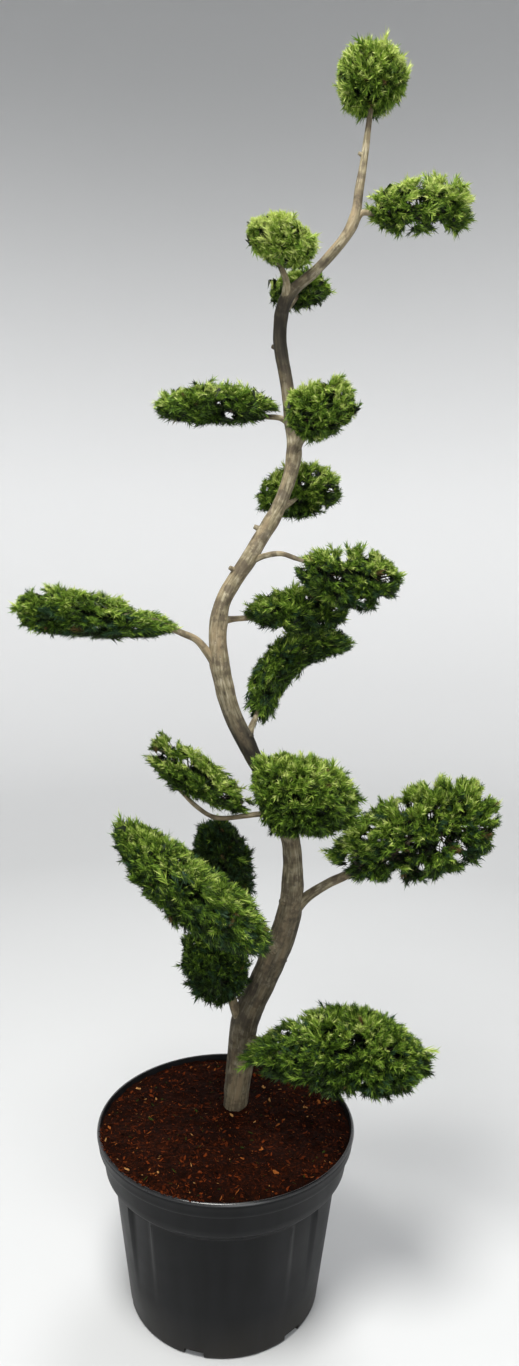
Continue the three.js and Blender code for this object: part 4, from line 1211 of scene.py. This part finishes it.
compost = {
    "gap": 0.8, "foot": 16, "top": 340.5, "columns": 220, "rows": 84,
    "lump": 4.6, "lumpSize": 28.0, "crumb": 2.0, "crumbSize": 9.0,
    "mound": 4.0, "moundPlace": (15, 60), "moundReach": 46.0,
    "edgeSink": 2.5, "edgeReach": 22.0,
    "chips": 6600, "chipLength": (3.0, 13.0), "chipTilt": 32, "trunkClear": 24.0,
    "chipShares": (0.13, 0.14, 0.32, 0.08, 0.28, 0.05),  # how often each shape of chip lies there
    "spill": 420, "spillTurn": (-80, -6), "spillRadius": (244.0, 251.5), "spillLength": (2.5, 8.0),
    "spillTints": 4,  # only the darker chips lie on the lip
    "seed": 5, "specular": 0.08,
}
# Chips of composted bark from wet dark to dry pale, then moss; the shares they are dealt in
chipTints = [("#140501", 0.28), ("#260c02", 0.29), ("#401805", 0.24), ("#61290c", 0.13), ("#844a20", 0.032),
             ("#a87a48", 0.009), ("#2c3711", 0.017)]


def insideRadius(angle, z):
    ledge = pot["height"] - pot["bandHeight"]
    if z <= ledge:
        return innerRadius(z) - (fluteSink(angle, z) if 20 < z < pot["fluteEnd"] else 0)
    atLip = pot["rimRadius"] - 7.4
    return np.interp(z, [ledge, pot["height"] - 8], [innerRadius(ledge), atLip])


# Height of the loose surface: broad lumps and crumbs, heaped up round the trunk, settled at the wall
def compostTop(x, y):
    lumps = compost["lump"] * noise.noise(Vector((x, y, 900)) / compost["lumpSize"])
    crumbs = compost["crumb"] * noise.noise(Vector((x, y, 300)) / compost["crumbSize"])
    away = math.hypot(x - compost["moundPlace"][0], y - compost["moundPlace"][1]) / compost["moundReach"]
    fromWall = (insideRadius(0, compost["top"]) - math.hypot(x, y)) / compost["edgeReach"]
    sink = compost["edgeSink"] * math.exp(-max(0.0, fromWall) ** 2)
    return compost["top"] + lumps + crumbs + compost["mound"] * math.exp(-away * away) - sink


# Composted bark: dark red-brown crumbs, matt, broken up by lighter fibres
def makeCompostMaterial():
    material, tree, shader = newMaterial("compostedBarkCrumbs", 0.92, 1.4, compost["specular"])
    place = addNode(tree, "ShaderNodeTexCoord").outputs["Object"]
    crumbs = addNode(tree, "ShaderNodeTexNoise", {
        "Vector": place, "Scale": 170.0, "Detail": 6.0, "Roughness": 0.7
    })
    drift = addNode(tree, "ShaderNodeTexNoise", {"Vector": place, "Scale": 14.0, "Detail": 3.0})
    colour = addNode(tree, "ShaderNodeValToRGB", {"Fac": crumbs})
    setRamp(colour, [(0.34, "#080200"), (0.48, "#180601"), (0.60, "#2e1003"), (0.74, "#4c2008")])
    # darker in broad random patches, towards a near-black brown
    darkPatches = addNode(tree, "ShaderNodeMapRange", {
        "Value": drift, "From Min": 0.4, "From Max": 0.62, "To Min": 0.0, "To Max": 0.75
    })
    patchDarkened = addNode(tree, "ShaderNodeMix", {0: darkPatches, 6: colour, 7: toLinear("#110401")}, data_type="RGBA")
    feedShader(tree, shader, patchDarkened.outputs[2], crumbs, 1.0, 0.002)
    return material


def makeCompost():
    turns = [360 * j / compost["columns"] for j in range(compost["columns"])]
    rows = [[(20 * mm, compost["foot"] * mm)] * len(turns)]
    for z in (compost["foot"], *range(30, 250, 20), 253, 256, 263, 279, 300, 324):
        rows.append([((insideRadius(a, z) - compost["gap"]) * mm, z * mm) for a in turns])
    edge = insideRadius(0, compost["top"]) - 0.4 * compost["gap"]
    for k in range(compost["rows"]):
        r = 4 + (edge - 4) * (1 - k / (compost["rows"] - 1))
        row = []
        for a in turns:
            x, y = r * math.sin(math.radians(a)), -r * math.cos(math.radians(a))
            row.append((r * mm, compostTop(x, y) * mm))
        rows.append(row)
    return turnedPiece("compostBed", rows, [math.radians(a) for a in turns], [makeCompostMaterial()])


# A chip 1 long along Y: a closed splinter of so many sides that is broken off unevenly at its ends
def makeChipShape(name, seed, sides, width, thick):
    random = np.random.default_rng(seed)
    points = []
    for y, size in ((-0.5, 0.35), (-0.18, 1.0), (0.22, 0.9), (0.5, 0.3)):
        bend = 0.12 * random.standard_normal(2)
        for j in range(sides):
            a = 2 * math.pi * j / sides + random.uniform(-0.3, 0.3)
            size *= random.uniform(0.9, 1.1)
            across = width * (bend[0] + 0.5 * size * math.cos(a))
            upward = thick * (bend[1] + 0.5 * size * math.sin(a))
            points.append((across, y + random.uniform(-0.05, 0.05), upward))
    faces = [face[::-1] for face in ringFaces(4, sides)]
    faces += [tuple(range(sides)), tuple(range(3 * sides, 4 * sides))[::-1]]
    mesh = bpy.data.meshes.new(name)
    mesh.from_pydata(points, [], faces)
    mesh.update()
    return bpy.data.objects.new(name, mesh)


def makeChipMaterial(name, colour):
    material, tree, shader = newMaterial(name, 0.86, 1.4, compost["specular"])
    place = addNode(tree, "ShaderNodeTexCoord").outputs["Object"]
    fibre = addNode(tree, "ShaderNodeTexNoise", {"Vector": place, "Scale": 420.0, "Detail": 3.0})
    tone = addNode(tree, "ShaderNodeMapRange", {
        "Value": fibre, "From Min": 0.3, "From Max": 0.7, "To Min": 0.6, "To Max": 1.35
    })
    shaded = addNode(tree, "ShaderNodeVectorMath", {0: toLinear(colour)[:3], 3: tone}, operation="SCALE")
    feedShader(tree, shader, shaded.outputs[0], fibre, 0.5, 0.0006)
    return material


def makeChips():
    random = np.random.default_rng(compost["seed"])
    count = compost["chips"]
    reach = insideRadius(0, compost["top"]) - 5
    r = reach * np.sqrt(random.random(count))
    a = 2 * math.pi * random.random(count)
    x, y = r * np.sin(a), -r * np.cos(a)
    heap = np.hypot(x - compost["moundPlace"][0], y - compost["moundPlace"][1]) > compost["trunkClear"]
    x, y = x[heap], y[heap]
    low, high = compost["chipLength"]
    lengths = low + (high - low) * random.random(len(x)) ** 2.6
    z = np.array([compostTop(px, py) for px, py in zip(x, y)]) + random.uniform(-0.1, 1.4, len(x))
    spill = compost["spill"]
    turn = np.radians(random.uniform(*compost["spillTurn"], spill))
    lip = random.uniform(*compost["spillRadius"], spill)
    x = np.concatenate([x, lip * np.sin(turn)])
    y = np.concatenate([y, -lip * np.cos(turn)])
    z = np.concatenate([z, pot["height"] + random.uniform(-1.5, 1.5, spill)])
    lengths = np.concatenate([lengths, random.uniform(*compost["spillLength"], spill)])
    tilt = np.radians(random.uniform(-compost["chipTilt"], compost["chipTilt"], (len(x), 2)))
    turns = np.column_stack([tilt, random.uniform(0, 2 * math.pi, len(x))])
    kinds = random.choice(len(compost["chipShares"]), len(x), p=compost["chipShares"])
    shares = np.array([share for tint, share in chipTints])
    tints = random.choice(len(chipTints), len(x), p=shares / shares.sum())
    tints[-spill:] %= compost["spillTints"]
    sizes = np.repeat(lengths[:, None], 3, 1) * random.uniform(0.8, 1.2, (len(x), 3))
    materials = [makeChipMaterial("brokenBarkChip" + str(i), row[0]) for i, row in enumerate(chipTints)]
    piece = pointPiece("compostChips", np.stack([x, y, z], 1) * mm, turns, sizes, kinds, tints)
    tree, sockets = makeScatterTree("scatterChips", materials, 0)
    return grown(piece, tree, sockets, {"Shapes": chipShapes, "Size": mm})


chipShapes = bpy.data.collections.new("chipShapes")
# Sides, width and thickness of each shape of chip, as shares of its length
chipSizes = [(3, 0.42, 0.20), (4, 0.34, 0.16), (3, 0.12, 0.08), (4, 0.55, 0.28), (3, 0.18, 0.10),
             (4, 0.75, 0.5)]
for seed, (sides, width, thick) in enumerate(chipSizes):
    chipShapes.objects.link(makeChipShape("chip" + str(seed), 60 + seed, sides, width, thick))
compostBed = makeCompost()
compostChips = makeChips()
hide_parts("compost")
for piece in (compostBed, compostChips):
    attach(piece, "root")
print("compost made:", len(compostBed.data.polygons), len(compostChips.data.polygons), "faces")

for group in (sprayShapes, chipShapes):
    for shape in list(group.objects):
        bpy.data.objects.remove(shape)
    bpy.data.collections.remove(group)
